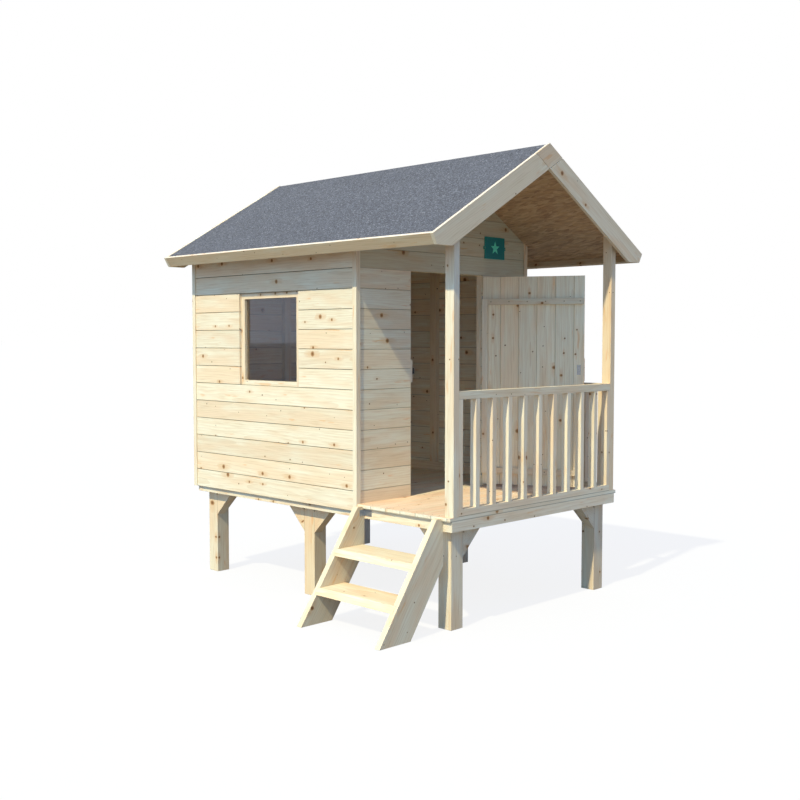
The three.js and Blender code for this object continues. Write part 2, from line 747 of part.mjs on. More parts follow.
// Felt, one sheet folded over the ridge
const feltTop = -feltRecess;
const feltBottom = -feltRecess - feltThickness;
const feltOutline = [
  onSlope(-1, boardEnd, feltTop),
  onSlope(1, downAtMiddle(feltTop, 0), feltTop),
  onSlope(1, boardEnd, feltTop),
  onSlope(1, boardEnd, feltBottom),
  onSlope(1, downAtMiddle(feltBottom, 0), feltBottom),
  onSlope(-1, boardEnd, feltBottom),
];
addPiece(roof, "roof_felt", "felt", prismAlongY(feltOutline, 0, roofLength), [0, 0, 0]);

// Eave boards along the lower ends of the slopes
for (const [hand, side] of [["left", -1], ["right", 1]]) {
  const outline = [
    onSlope(side, slopeLength - fasciaThickness, 0),
    onSlope(side, slopeLength, 0),
    onSlope(side, slopeLength, -fasciaDepth),
    onSlope(side, slopeLength - fasciaThickness, -fasciaDepth),
  ];
  addPiece(roof, `eave_fascia_${hand}`, "pine", prismAlongY(outline, 0, roofLength), [0, 0, 0]);
}

// Bargeboards, and between their upper ends a block with the shape of their crossing
const eaveCut = onSlope(1, slopeLength, -fasciaDepth);
const levelCutDown = -(eaveCut[1] + bargeboardWidth * Math.cos(roofSlope)) / Math.sin(roofSlope);
const lowerEdge = -bargeboardWidth;
const buttLine = lowerEdge - bargeboardGap;
const bargeboardOutlines = {
  right: [
    acrossRidge(0, buttLine),
    onSlope(1, slopeLength, 0),
    eaveCut,
    onSlope(1, levelCutDown, lowerEdge),
    acrossRidge(lowerEdge, buttLine),
  ],
  left: [
    acrossRidge(buttLine, 0),
    onSlope(-1, slopeLength, 0),
    onSlope(-1, slopeLength, -fasciaDepth),
    onSlope(-1, levelCutDown, lowerEdge),
    acrossRidge(buttLine, lowerEdge),
  ],
};
const apexOutline = [
  acrossRidge(0, 0),
  acrossRidge(0, lowerEdge),
  acrossRidge(lowerEdge, lowerEdge),
  acrossRidge(lowerEdge, 0),
];
for (const [end, inner, outward] of [["front", 0, -1], ["rear", roofLength, 1]]) {
  const faces = [inner, inner + outward * bargeboardThickness].sort((a, b) => a - b);
  for (const [hand, outline] of Object.entries(bargeboardOutlines)) {
    addPiece(roof, `bargeboard_${end}_${hand}`, "pine", prismAlongY(outline, ...faces), [0, 0, 0]);
  }
  addPiece(roof, `apex_block_${end}`, "pine", prismAlongY(apexOutline, ...faces), [0, 0, 0]);
}

// Sign plate on the gable, with a screw tab at each side
const signOutline = [
  [-signWidth / 2, -signHeight / 2],
  [signWidth / 2, -signHeight / 2],
  [signWidth / 2, -signTabHeight / 2],
  [signWidth / 2 + signTabWidth, -signTabHeight / 2],
  [signWidth / 2 + signTabWidth, signTabHeight / 2],
  [signWidth / 2, signTabHeight / 2],
  [signWidth / 2, signHeight / 2],
  [-signWidth / 2, signHeight / 2],
  [-signWidth / 2, signTabHeight / 2],
  [-signWidth / 2 - signTabWidth, signTabHeight / 2],
  [-signWidth / 2 - signTabWidth, -signTabHeight / 2],
  [-signWidth / 2, -signTabHeight / 2],
];
const sign = prismAlongY(signOutline, -signThickness, 0);
addPiece(playhouse, "sign_plate", "sign", sign, [halfWidth - signFromGableEnd, 0, doorwayTop + signAboveDoorway]);

// The part's origin is under the middle of the whole, on the ground
const bounds = new THREE.Box3().setFromObject(playhouse);
const middle = bounds.getCenter(new THREE.Vector3());
playhouse.position.set(-middle.x, -middle.y, -bounds.min.z);
const part = new THREE.Group();
part.add(playhouse);

export default part;
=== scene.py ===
# The looks of a child's stilt playhouse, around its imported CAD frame. Metres, +Z up, veranda towards -Y.
import json
import math

import bpy
import numpy as np
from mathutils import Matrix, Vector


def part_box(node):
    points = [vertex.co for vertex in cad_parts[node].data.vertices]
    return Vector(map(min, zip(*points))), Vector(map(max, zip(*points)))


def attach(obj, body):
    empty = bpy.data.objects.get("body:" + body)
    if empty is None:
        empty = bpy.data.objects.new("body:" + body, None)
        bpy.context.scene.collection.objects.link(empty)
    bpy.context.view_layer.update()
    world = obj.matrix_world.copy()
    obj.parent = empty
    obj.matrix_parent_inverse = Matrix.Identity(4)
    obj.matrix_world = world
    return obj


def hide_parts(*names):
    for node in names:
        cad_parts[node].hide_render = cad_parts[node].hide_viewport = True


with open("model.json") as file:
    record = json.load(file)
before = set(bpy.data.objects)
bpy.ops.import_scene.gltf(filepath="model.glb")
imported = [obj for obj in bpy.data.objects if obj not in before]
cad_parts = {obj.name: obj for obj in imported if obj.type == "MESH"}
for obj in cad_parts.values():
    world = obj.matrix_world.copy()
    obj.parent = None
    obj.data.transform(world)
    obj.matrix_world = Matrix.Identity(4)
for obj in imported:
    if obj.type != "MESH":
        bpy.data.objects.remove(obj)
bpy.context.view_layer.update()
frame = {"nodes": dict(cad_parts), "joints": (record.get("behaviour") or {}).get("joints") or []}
nodes = frame["nodes"]

# Legs: six square softwood posts, planed and sawn off square at the foot. Slanting braces of the same wood,
# notched over the floor beams, are screwed to each, with the grain of a brace running up its slope.
PINE_PALE = (240, 229, 201)
PINE_WARM = (230, 208, 170)
PINE_ROSE = (238, 213, 178)
PINE_LATE = (200, 164, 118)
PINE_FLAME = (229, 180, 126)
KNOT_CORE = (166, 112, 54)
KNOT_RIM = (98, 66, 32)
KNOT_GLOW = (212, 160, 98)


def tone(red, green, blue):
    """Linear colour of a screen colour given in 0 to 255: the screen's curve undone, and opaque."""
    shares = np.array([red, green, blue]) / 255
    linear = np.where(shares <= 0.04045, shares / 12.92, ((shares + 0.055) / 1.055) ** 2.4)
    return (*[float(part) for part in linear], 1.0)


def wire(tree, kind, inputs=None, **settings):
    """Adds one shader node with its own settings. Its inputs are linked to outputs or set to values."""
    made = tree.nodes.new("ShaderNode" + kind)
    for key, value in settings.items():
        setattr(made, key, value)
    for key, value in (inputs or {}).items():
        if isinstance(value, bpy.types.NodeSocket):
            tree.links.new(value, made.inputs[key])
        else:
            made.inputs[key].default_value = value
    return made


def sums(tree, operation, *values):
    """One arithmetic node over sockets or numbers."""
    return wire(tree, "Math", dict(enumerate(values)), operation=operation).outputs[0]


def spread(tree, value, low, high, to_low=0.0, to_high=1.0):
    """A smooth step: to_low below low and to_high above high, with an S curve between."""
    inputs = {"Value": value, "From Min": low, "From Max": high, "To Min": to_low, "To Max": to_high}
    return wire(tree, "MapRange", inputs, interpolation_type="SMOOTHSTEP").outputs["Result"]


def swing(tree, value, reach):
    """How far a value lies from a half, times a reach."""
    return sums(tree, "MULTIPLY", sums(tree, "SUBTRACT", value, 0.5), reach)


def either(tree, share, first, second):
    """The first number where the share is 0, and the second where it is 1."""
    return wire(tree, "Mix", {0: share, 2: first, 3: second}).outputs[0]


def tinted(tree, share, first, second, blend="MIX"):
    """Two colours mixed by a share."""
    return wire(tree, "Mix", {0: share, 6: first, 7: second}, data_type="RGBA", blend_type=blend).outputs[2]


def stained(tree, colour, pigment, share, strength):
    """A colour with a pigment laid over it, by a share times a strength."""
    return tinted(tree, sums(tree, "MULTIPLY", share, strength), colour, tone(*pigment))


def joined(tree, x, y, z=0.0):
    """A vector of three numbers."""
    return wire(tree, "CombineXYZ", {"X": x, "Y": y, "Z": z}).outputs[0]


def parts(tree, vector):
    """The three numbers of a vector or a colour."""
    return list(wire(tree, "SeparateXYZ", {0: vector}).outputs)


def facing(tree):
    """The three parts of the direction that a surface faces."""
    return parts(tree, wire(tree, "NewGeometry").outputs["Normal"])


def place_on_piece(tree):
    """The place on a piece, in the piece's own coordinates."""
    return wire(tree, "TexCoord").outputs["Object"]


def own_axes(tree, place=(0, 0, 0), turn=(0, 0, 0)):
    """The three coordinates of a piece, measured from a place on it and along its own turned axes."""
    inputs = {"Vector": place_on_piece(tree), "Location": place, "Rotation": turn}
    return parts(tree, wire(tree, "Mapping", inputs, vector_type="TEXTURE").outputs[0])


def noise(tree, vector, scale=1.0, detail=2.0, roughness=0.5):
    """Soft noise between 0 and 1."""
    inputs = {"Vector": vector, "Scale": scale, "Detail": detail, "Roughness": roughness}
    return wire(tree, "TexNoise", inputs).outputs["Fac"]


def length_of(tree, first, second):
    """The root of the sum of two squares."""
    squares = [sums(tree, "POWER", side, 2.0) for side in (first, second)]
    return sums(tree, "SQRT", sums(tree, "ADD", *squares))


def start_finish(name):
    """A new material, and its tree of shader nodes."""
    material = bpy.data.materials.new(name)
    material.use_nodes = True
    return material, material.node_tree


def surface(tree, colour, rough, bump=(0.0, 0.0), height=None):
    """Links a colour, a roughness and a height to the material's shader, with a bump given as its strength
    and its depth. Gives the shader back, for the sockets that are the same all over."""
    shader = tree.nodes["Principled BSDF"]
    tree.links.new(colour, shader.inputs["Base Color"])
    tree.links.new(rough, shader.inputs["Roughness"])
    if height is not None:
        raised = wire(tree, "Bump", {"Strength": bump[0], "Distance": bump[1], "Height": height})
        tree.links.new(raised.outputs[0], shader.inputs["Normal"])
    return shader


KNOT_CELL = 0.1
KNOT_FREE_SHARE = 0.56
KNOT_SCATTER = 0.8
KNOT_LEAN = 0.7
KNOT_SHIFT = 9.0
KNOT_LEAST = 0.02
KNOT_SPAN = 0.1
KNOT_RARITY = 2.8
KNOT_EDGE = (0.7, 1.3)
HEART_EDGE = (0.2, 0.8)
GLOW_EDGE = (0.6, 2.2)
GROWN_RANGE = (0.45, 0.75)
RAGGED_SCALE = 14.0
KNOT_RAGGED = 0.045
GLOW_RAGGED = 0.05
GLOW_SQUEEZE = 0.3


def knots(tree, along, across, depth, lot):
    """Knots are the cells of a flat Voronoi pattern that runs slantwise through the timber, some of them
    left out, and their sizes are in cells. Gives the knot, its dark part, and the glow round it, which
    reaches furthest along the grain. Off a cell's point, each is a smooth step of the distance over the
    knot's radius. Large knots are pale with a dark heart."""
    lengthways = sums(tree, "DIVIDE", along, KNOT_CELL)
    sideways = sums(tree, "DIVIDE", sums(tree, "MULTIPLY_ADD", depth, KNOT_LEAN, across), KNOT_CELL)
    sideways = sums(tree, "MULTIPLY_ADD", lot[1], KNOT_SHIFT, sideways)
    spot = joined(tree, lengthways, sideways)
    inputs = {"Vector": spot, "Scale": 1.0, "Randomness": KNOT_SCATTER}
    cells = wire(tree, "TexVoronoi", inputs, voronoi_dimensions="2D").outputs
    gap = wire(tree, "VectorMath", {0: spot, 1: cells["Position"]}, operation="SUBTRACT").outputs[0]
    off = parts(tree, gap)
    luck = parts(tree, cells["Color"])
    radius = sums(tree, "MULTIPLY_ADD", sums(tree, "POWER", luck[1], KNOT_RARITY), KNOT_SPAN, KNOT_LEAST)
    ragged = noise(tree, joined(tree, lengthways, sideways, depth), RAGGED_SCALE)
    uneven = sums(tree, "SUBTRACT", ragged, 0.5)
    round_off = sums(tree, "MULTIPLY_ADD", uneven, KNOT_RAGGED, length_of(tree, off[0], off[1]))
    round_off = sums(tree, "DIVIDE", round_off, radius)
    squeezed = sums(tree, "MULTIPLY_ADD", uneven, GLOW_RAGGED, sums(tree, "MULTIPLY", off[0], GLOW_SQUEEZE))
    long_off = sums(tree, "DIVIDE", length_of(tree, squeezed, off[1]), radius)
    present = sums(tree, "GREATER_THAN", luck[0], KNOT_FREE_SHARE)
    grown = spread(tree, luck[1], *GROWN_RANGE)
    core = sums(tree, "MULTIPLY", present, spread(tree, round_off, *KNOT_EDGE, 1.0, 0.0))
    heart = sums(tree, "MULTIPLY", present, spread(tree, round_off, *HEART_EDGE, 1.0, 0.0))
    small = sums(tree, "SUBTRACT", 1.0, grown)
    dark = sums(tree, "MAXIMUM", heart, sums(tree, "MULTIPLY", core, small))
    glow = sums(tree, "MULTIPLY", present, grown)
    glow = sums(tree, "MULTIPLY", glow, spread(tree, long_off, *GLOW_EDGE, 1.0, 0.0))
    return core, dark, glow


RING_SPACING = 0.0078
RING_WANDER = 0.034
RING_BULGE = 0.006
PITH_SIDEWAYS = 0.16
PITH_DEPTH = 0.03
PITH_DEPTH_SPAN = 0.06
BOARD_SHIFT = 5.0
PATCH_SHIFT = 0.34
BOARD_SHADE = 0.94
BOARD_SHADE_SPAN = 0.08
WANDER_RATE = (1.3, 9.0)
PATCH_RATE = (3.2, 17.0)
FLAME_RATE = (5.0, 34.0)
STREAK_RATE = (4.0, 70.0)
LINE_RATE = (7.0, 170.0)
FIBRE_RATE = (12.0, 420.0)
PATCH_RANGE = (0.36, 0.66)
FLAME_RANGE = (0.645, 0.72)
STREAK_RANGE = (0.36, 0.7)
LINE_RANGE = (0.5, 0.72)
FIBRE_RANGE = (0.3, 0.7)
STREAK_SHARE = 0.45
RING_SHARE = 0.24
LINE_SHARE = 0.34
FIBRE_SHARE = 0.1
FLAME_SHARE = 0.62
GLOW_SHARE = 0.38
CORE_SHARE = 0.85
RIM_SHARE = 0.75
WOOD_ROUGH = 0.6
FIBRE_ROUGH = 0.12
RING_SMOOTH = 0.12
KNOT_HOLLOW = 0.6


def growth(tree, along, across, depth, number, seed):
    """Sawn softwood as colour, roughness and height. Rings are circles round a pith that lies behind the
    board, so a face shows long arches and an end shows arcs, and the rings bulge round the knots. The
    number of the board draws its lot, which shifts and tints all of it."""
    chance = wire(tree, "TexWhiteNoise", {"W": sums(tree, "ADD", number, seed)}, noise_dimensions="1D")
    lot = parts(tree, chance.outputs["Color"])
    shifted = sums(tree, "MULTIPLY_ADD", lot[0], BOARD_SHIFT, along)
    core, dark, glow = knots(tree, shifted, across, depth, lot)

    def grain(rate, detail, roughness):
        """Noise that is slow along the grain and quick across and through it. A rate is both, per metre."""
        slow, quick = rate
        paced = ((shifted, slow), (across, quick), (depth, quick))
        place = [sums(tree, "MULTIPLY", part, pace) for part, pace in paced]
        return noise(tree, joined(tree, *place), 1.0, detail, roughness)

    pith_off = sums(tree, "SUBTRACT", across, swing(tree, lot[1], PITH_SIDEWAYS))
    pith_deep = sums(tree, "ADD", depth, sums(tree, "MULTIPLY_ADD", lot[2], PITH_DEPTH_SPAN, PITH_DEPTH))
    wander = swing(tree, grain(WANDER_RATE, 2.0, 0.5), RING_WANDER)
    out = sums(tree, "ADD", length_of(tree, pith_off, pith_deep), wander)
    out = sums(tree, "ADD", out, sums(tree, "MULTIPLY", glow, RING_BULGE))
    ring = sums(tree, "POWER", sums(tree, "FRACT", sums(tree, "DIVIDE", out, RING_SPACING)), 2.0)

    patch = sums(tree, "ADD", grain(PATCH_RATE, 2.0, 0.5), swing(tree, lot[1], PATCH_SHIFT))
    streak = spread(tree, grain(STREAK_RATE, 3.0, 0.6), *STREAK_RANGE)
    line = spread(tree, grain(LINE_RATE, 2.0, 0.6), *LINE_RANGE)
    fibre = grain(FIBRE_RATE, 2.0, 0.6)
    flame = spread(tree, grain(FLAME_RATE, 3.0, 0.6), *FLAME_RANGE)
    colour = tinted(tree, spread(tree, patch, *PATCH_RANGE), tone(*PINE_PALE), tone(*PINE_ROSE))
    colour = stained(tree, colour, PINE_WARM, streak, STREAK_SHARE)
    colour = stained(tree, colour, PINE_LATE, ring, RING_SHARE)
    colour = stained(tree, colour, PINE_LATE, line, LINE_SHARE)
    colour = tinted(tree, spread(tree, fibre, *FIBRE_RANGE, FIBRE_SHARE, 0.0), colour, tone(*PINE_LATE))
    colour = stained(tree, colour, PINE_FLAME, flame, FLAME_SHARE)
    shade = sums(tree, "MULTIPLY_ADD", lot[2], BOARD_SHADE_SPAN, BOARD_SHADE)
    colour = wire(tree, "VectorMath", {0: colour, "Scale": shade}, operation="SCALE").outputs[0]
    colour = stained(tree, colour, KNOT_GLOW, glow, GLOW_SHARE)
    colour = stained(tree, colour, KNOT_CORE, core, CORE_SHARE)
    colour = stained(tree, colour, KNOT_RIM, dark, RIM_SHARE)
    rough = sums(tree, "MULTIPLY_ADD", fibre, FIBRE_ROUGH, WOOD_ROUGH)
    rough = sums(tree, "MULTIPLY_ADD", ring, -RING_SMOOTH, rough)
    height = sums(tree, "MULTIPLY", sums(tree, "ADD", ring, fibre), 0.5)
    height = sums(tree, "SUBTRACT", height, sums(tree, "MULTIPLY", dark, KNOT_HOLLOW))
    return colour, rough, height


UNTINTED = (255, 255, 255)
JOINT_SHADOW = (84, 70, 44)
GRAIN_BUMP = (0.35, 0.0006)
WOOD_GLOSS = 0.35
UPWARD_RANGE = (0.6, 0.8)
INNER_SIDE = 0.006


def softwood(name, seed, lay, cast=UNTINTED, upper=None, inner=None):
    """A planed softwood finish. lay gives the coordinates along, across and through each board, and its
    number, and where boards lie edge to edge, how far a place is down in the shadow of a joint. A cast
    tints the whole; another, painted light, tints the faces that look up, which are lit otherwise than the
    sides; and a third, painted light, brightens and cools the inner side."""
    material, tree = start_finish(name)
    along, across, depth, number, *joint = lay(tree)
    colour, rough, height = growth(tree, along, across, depth, number, seed)
    tint = tone(*cast)
    # Painted light: the faces that look up take their own tint.
    if upper:
        tint = tinted(tree, spread(tree, facing(tree)[2], *UPWARD_RANGE), tint, tone(*upper))
    # Painted light: the inner side is brightened and cooled.
    if inner:
        tint = tinted(tree, sums(tree, "GREATER_THAN", depth, INNER_SIDE), tint, tone(*inner))
    colour = tinted(tree, 1.0, colour, tint, "MULTIPLY")
    if joint:
        colour = tinted(tree, joint[0], colour, tone(*JOINT_SHADOW))
    shader = surface(tree, colour, rough, GRAIN_BUMP, height)
    shader.inputs["Specular IOR Level"].default_value = WOOD_GLOSS
    return material


WELD_REACH = 0.00002
SHARP_ANGLE = math.radians(28)


def ease_edges(piece, width):
    """Breaks a piece's sharp edges by a width."""
    eased = piece.modifiers.new("eased edges", "BEVEL")
    eased.width = width
    eased.segments = 2
    eased.limit_method = "ANGLE"
    eased.angle_limit = SHARP_ANGLE


def dress(name, material, ease=0.0):
    """Gives a CAD piece its finish and, with ease, breaks its sharp edges by that width."""
    piece = nodes[name]
    piece.data.materials.clear()
    piece.data.materials.append(material)
    if ease:
        weld = piece.modifiers.new("weld", "WELD")
        weld.merge_threshold = WELD_REACH
        ease_edges(piece, ease)


def named(*beginnings):
    """The CAD pieces whose names begin in one of these ways, in the order of their names."""
    return sorted(part for part in nodes if part.startswith(beginnings))


LEG_SEED = 10
LEG_HALF = 0.036
LEG_SKIN = 0.0005
LEG_EASE = 0.0012
# Painted shade: the front and rear legs are tinted a little darker than their wood.
LEG_CAST = (250, 248, 245)
MIDDLE_LEG_CAST = (254, 241, 226)
BRACE_DROP = 0.119
BRACE_JOINT = 0.0016
BRACE_JOINT_DARK = 0.42


def braced_leg(centre):
    """Grain of a leg up its length, and of a brace up its slope of one in one: outside the leg's own
    section the coordinates along and across are the sum and difference of height and reach, over root two.
    A brace has a dark line where it meets the leg."""

    def lay(tree):
        x, y, z = own_axes(tree, centre)
        wide, deep = sums(tree, "ABSOLUTE", x), sums(tree, "ABSOLUTE", y)
        reach = sums(tree, "MAXIMUM", wide, deep)
        brace = sums(tree, "GREATER_THAN", reach, LEG_HALF + LEG_SKIN)
        up = sums(tree, "DIVIDE", sums(tree, "ADD", z, reach), math.sqrt(2))
        level = sums(tree, "DIVIDE", sums(tree, "SUBTRACT", z, reach), math.sqrt(2))
        along = either(tree, brace, z, up)
        across = either(tree, brace, x, level)
        depth = either(tree, brace, y, sums(tree, "ADD", x, y))
        sideways = sums(tree, "GREATER_THAN", sums(tree, "ABSOLUTE", facing(tree)[0]), 0.5)
        offset = either(tree, sideways, wide, deep)
        from_joint = sums(tree, "ABSOLUTE", sums(tree, "SUBTRACT", offset, LEG_HALF))
        joint = spread(tree, from_joint, BRACE_JOINT / 2, BRACE_JOINT, BRACE_JOINT_DARK, 0.0)
        joint = sums(tree, "MULTIPLY", joint, sums(tree, "GREATER_THAN", z, frame_foot - BRACE_DROP))
        return along, across, depth, brace, joint

    return lay


frame_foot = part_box("floor_beam_front")[0].z
for seed, name in enumerate(named("leg_"), LEG_SEED):
    low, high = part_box(name)
    row, side = name.split("_")[1:]
    leg_x = low.x + LEG_HALF if side == "left" else high.x - LEG_HALF
    leg_y = {"front": low.y + LEG_HALF, "middle": (low.y + high.y) / 2, "rear": high.y - LEG_HALF}[row]
    cast = MIDDLE_LEG_CAST if row == "middle" else LEG_CAST
    dress(name, softwood(name, seed, braced_leg((leg_x, leg_y, 0)), cast), LEG_EASE)

# Screws and nails: zinc-plated steel, driven until the head lies about flush. A head is a low dome with a
# dimple, and its foot sinks a little into the wood.
ZINC_PALE = (196, 200, 204)
ZINC_GREY = (136, 144, 156)
BRASSED_PALE = (172, 150, 112)
BRASSED_GREY = (128, 108, 78)
ZINC_METAL = 0.85
BRASSED_METAL = 0.3
CRYSTAL_SCALE = 420.0
DULL_SCALE = 60.0
ZINC_ROUGH = 0.22
DULL_ROUGH = 0.3
ZINC_BUMP = (0.2, 0.0002)
HEAD_RADIUS_SHARES = (0.0, 0.95, 1.0, 0.78, 0.34, 0.0)
HEAD_HEIGHT_SHARES = (-0.3, -0.3, 0.25, 0.8, 0.72, 0.1)
HEAD_SIDES = 9
SCREW_RADIUS = 0.0032
SCREW_HEIGHT = 0.0007


def plated(name, dull_tone, bright_tone, metal):
    """Zinc plating, bare or passivated to a yellowish brass tone: crystals as Voronoi cells of slightly
    different tones, with a soft broken gloss."""
    material, tree = start_finish(name)
    spot = place_on_piece(tree)
    cells = wire(tree, "TexVoronoi", {"Vector": spot, "Scale": CRYSTAL_SCALE}).outputs["Color"]
    dull = noise(tree, spot, DULL_SCALE, 3.0)
    share = sums(tree, "MULTIPLY", sums(tree, "ADD", parts(tree, cells)[0], dull), 0.5)
    colour = tinted(tree, share, tone(*dull_tone), tone(*bright_tone))
    rough = sums(tree, "MULTIPLY_ADD", dull, DULL_ROUGH, ZINC_ROUGH)
    surface(tree, colour, rough, ZINC_BUMP, dull).inputs["Metallic"].default_value = metal
    return material


zinc = plated("zinc", ZINC_GREY, ZINC_PALE, ZINC_METAL)
brassed = plated("brassed_zinc", BRASSED_GREY, BRASSED_PALE, BRASSED_METAL)


def placed(name, points, faces, material, body):
    """Puts a new piece into the scene from arrays of its corners and faces, riding on a body."""
    mesh = bpy.data.meshes.new(name)
    mesh.from_pydata(np.asarray(points, float).tolist(), [], [list(face) for face in faces])
    mesh.materials.append(material)
    piece = bpy.data.objects.new(name, mesh)
    bpy.context.scene.collection.objects.link(piece)
    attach(piece, body)
    return piece


def heads(name, places, outward, body, radius=SCREW_RADIUS):
    """Screw heads: a profile of radius and height turned about the outward direction at each place, all in
    one array over places, profile points and angles. The first and last profile points lie on the axis."""
    outward = np.array(outward, float) / np.linalg.norm(outward)
    aside = np.cross(outward, (0.0, 0.0, 1.0) if abs(outward[2]) < 0.9 else (1.0, 0.0, 0.0))
    aside /= np.linalg.norm(aside)
    above = np.cross(outward, aside)
    angles = np.arange(HEAD_SIDES) * 2 * math.pi / HEAD_SIDES
    circle = np.cos(angles)[:, None] * aside + np.sin(angles)[:, None] * above
    rings = np.array(HEAD_RADIUS_SHARES)[:, None, None] * radius * circle[None]
    rings = rings + np.array(HEAD_HEIGHT_SHARES)[:, None, None] * SCREW_HEIGHT * outward
    one = np.vstack([rings[0, :1], rings[1:-1].reshape(-1, 3), rings[-1, :1]])
    points = (np.array(places, float)[:, None] + one[None]).reshape(-1, 3)
    step = np.arange(HEAD_SIDES)
    after = (step + 1) % HEAD_SIDES
    faces = []
    for ring in range(len(HEAD_RADIUS_SHARES) - 3):
        lower, upper = 1 + ring * HEAD_SIDES, 1 + (ring + 1) * HEAD_SIDES
        faces += np.stack([lower + step, lower + after, upper + after, upper + step], 1).tolist()
    last = len(one) - 1
    faces += np.stack([0 * step, 1 + after, 1 + step], 1).tolist()
    faces += np.stack([last - HEAD_SIDES + step, last - HEAD_SIDES + after, 0 * step + last], 1).tolist()
    starts = range(0, len(points), len(one))
    all_faces = [[corner + start for corner in face] for start in starts for face in faces]
    return placed(name, points, all_faces, brassed, body)


# Floor frame: four planed softwood beams and two joists, standing on edge under the floor. They are screwed
# together at their ends, with the leg tops between them.
FRAME_SEED = 20
TIMBER_EASE = 0.001


def timber(along, across, place=(0, 0, 0), turn=(0, 0, 0)):
    """Grain of one straight timber, given the axis it runs along and the axis across its wide face."""

    def lay(tree):
        axes = own_axes(tree, place, turn)
        return axes[along], axes[across], axes[3 - along - across], 0.0

    return lay


def middle_of(name):
    """The middle of a CAD piece's box."""
    low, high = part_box(name)
    return tuple((low + high) / 2)


def runs_along(name):
    """The axis of a piece's greatest length, and that of its second."""
    low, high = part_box(name)
    order = np.argsort(np.array(high) - np.array(low))
    return int(order[2]), int(order[1])


def dress_timber(name, seed, cast=UNTINTED, ease=TIMBER_EASE):
    """Gives one straight timber its finish, with the grain along its greatest length."""
    dress(name, softwood(name, seed, timber(*runs_along(name), middle_of(name)), cast), ease)


frame_timbers = named("floor_beam", "floor_joist")
for seed, name in enumerate(frame_timbers, FRAME_SEED):
    dress_timber(name, seed)

# Deck and cabin floor: planed tongued boards of untreated softwood, laid across the house. Each is nailed
# to the beams and joists, with two nails at every crossing.
DECK_SEED = 40
FLOOR_SEED = 60
# Painted light: the deck's sides are tinted paler and cooler, lifting their shade, and its tops, which face
# the sun, warmer and darker.
DECK_SIDE_LIGHT_TINT = (256, 264, 270)
DECK_TOP_LIGHT_TINT = (251, 236, 234)
BOARD_PITCH = 0.09
JOINT_HALF = 0.0019
JOINT_BOTTOM = JOINT_HALF * 0.45
# Painted shade in the grooves between the deck's boards, three and a half times as dark where they are seen
# end on at the deck's edges.
DECK_JOINT_DARK = 0.2
END_JOINT_SHARE = 3.5
# Painted shade along the foot of a piece where it stands on another.
CONTACT_SHADE_WIDTH = 0.0045
CONTACT_SHADE_DARK = 0.5
NAIL_RADIUS = 0.0026
NAIL_OFFSET = BOARD_PITCH * 0.28
DECK_RIM = 0.006


def counted(tree, run, dark):
    """Along a run of boards: a board's number, the way off its middle line, and how dark its joint is."""
    number = sums(tree, "FLOOR", sums(tree, "DIVIDE", run, BOARD_PITCH))
    middle = sums(tree, "MULTIPLY", sums(tree, "ADD", number, 0.5), BOARD_PITCH)
    side = sums(tree, "SUBTRACT", run, middle)
    edge = sums(tree, "SUBTRACT", BOARD_PITCH / 2, sums(tree, "ABSOLUTE", side))
    return number, side, spread(tree, edge, JOINT_BOTTOM, JOINT_HALF, dark, 0.0)


def painted_contact_shade(tree, height, foot):
    """A painted shade line where a piece stands on the one below it."""
    return spread(tree, height, foot + CONTACT_SHADE_WIDTH / 2, foot + CONTACT_SHADE_WIDTH, CONTACT_SHADE_DARK, 0.0)


def boarded(datum, underside):
    """Grain of tongued boards that lie across the house: each has its number, counted back from the datum,
    and its own middle line. The painted shade in a joint is darkest at the ends of the boards, and a painted
    shade line darkens the foot of the boards over the beams."""

    def lay(tree):
        x, y, z = own_axes(tree)
        number, side, joint = counted(tree, sums(tree, "SUBTRACT", y, datum), DECK_JOINT_DARK)
        end = sums(tree, "GREATER_THAN", sums(tree, "ABSOLUTE", facing(tree)[0]), 0.5)
        joint = sums(tree, "MULTIPLY", joint, sums(tree, "MULTIPLY_ADD", end, END_JOINT_SHARE - 1.0, 1.0))
        return x, side, z, number, sums(tree, "MAXIMUM", joint, painted_contact_shade(tree, z, underside))

    return lay


deck_low, deck_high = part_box("veranda_deck")
floor_low, floor_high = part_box("house_floor")
deck_wood = softwood("veranda_deck", DECK_SEED, boarded(deck_high.y, deck_low.z), DECK_SIDE_LIGHT_TINT, DECK_TOP_LIGHT_TINT)
dress("veranda_deck", deck_wood)
dress("house_floor", softwood("house_floor", FLOOR_SEED, boarded(floor_high.y, floor_low.z)))
beam_lines = [middle_of(name)[0] for name in frame_timbers if name.endswith(("left", "right"))]
board_lines = np.arange(deck_high.y - BOARD_PITCH / 2, deck_low.y, -BOARD_PITCH)
nail_lines = [line + offset for line in board_lines for offset in (-NAIL_OFFSET, NAIL_OFFSET)]
nail_places = [(x, y, deck_high.z) for x in beam_lines for y in nail_lines if y > deck_low.y + DECK_RIM]
heads("deck_nails", nail_places, (0, 0, 1), "house", NAIL_RADIUS)

# Walls: tongued cladding boards of planed softwood, lying level. They are nailed to upright and level
# battens as ready-made panels, and the battens show only inside the cabin.
WALL_SEED = 80
WALL_SEED_STEP = 31
CLADDING = 0.0125
LEVEL_BATTEN = 0.046
SECOND_SIDE = 40.0
BATTEN_NUMBER = 77.0
# Painted light: the front wall panels under the veranda roof are tinted cooler and a touch paler, lifting
# their shade.
FRONT_WALL_LIGHT_TINT = (252, 258, 260)
# Painted light: the wall panels' inner sides are brightened and cooled, as by light coming in at the doorway
# and window.
INNER_PAINTED_LIGHT = (266, 274, 284)
GABLE_CAST = (222, 226, 220)
cladding_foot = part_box("wall_left")[0].z
deck_top = deck_high.z
window_low, window_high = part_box("window_frame")
window_middle = (window_low.y + window_high.y) / 2


def between(tree, value, low, high):
    """1 where a value lies between two others, and 0 elsewhere."""
    above = sums(tree, "GREATER_THAN", value, low)
    return sums(tree, "MULTIPLY", above, sums(tree, "LESS_THAN", value, high))


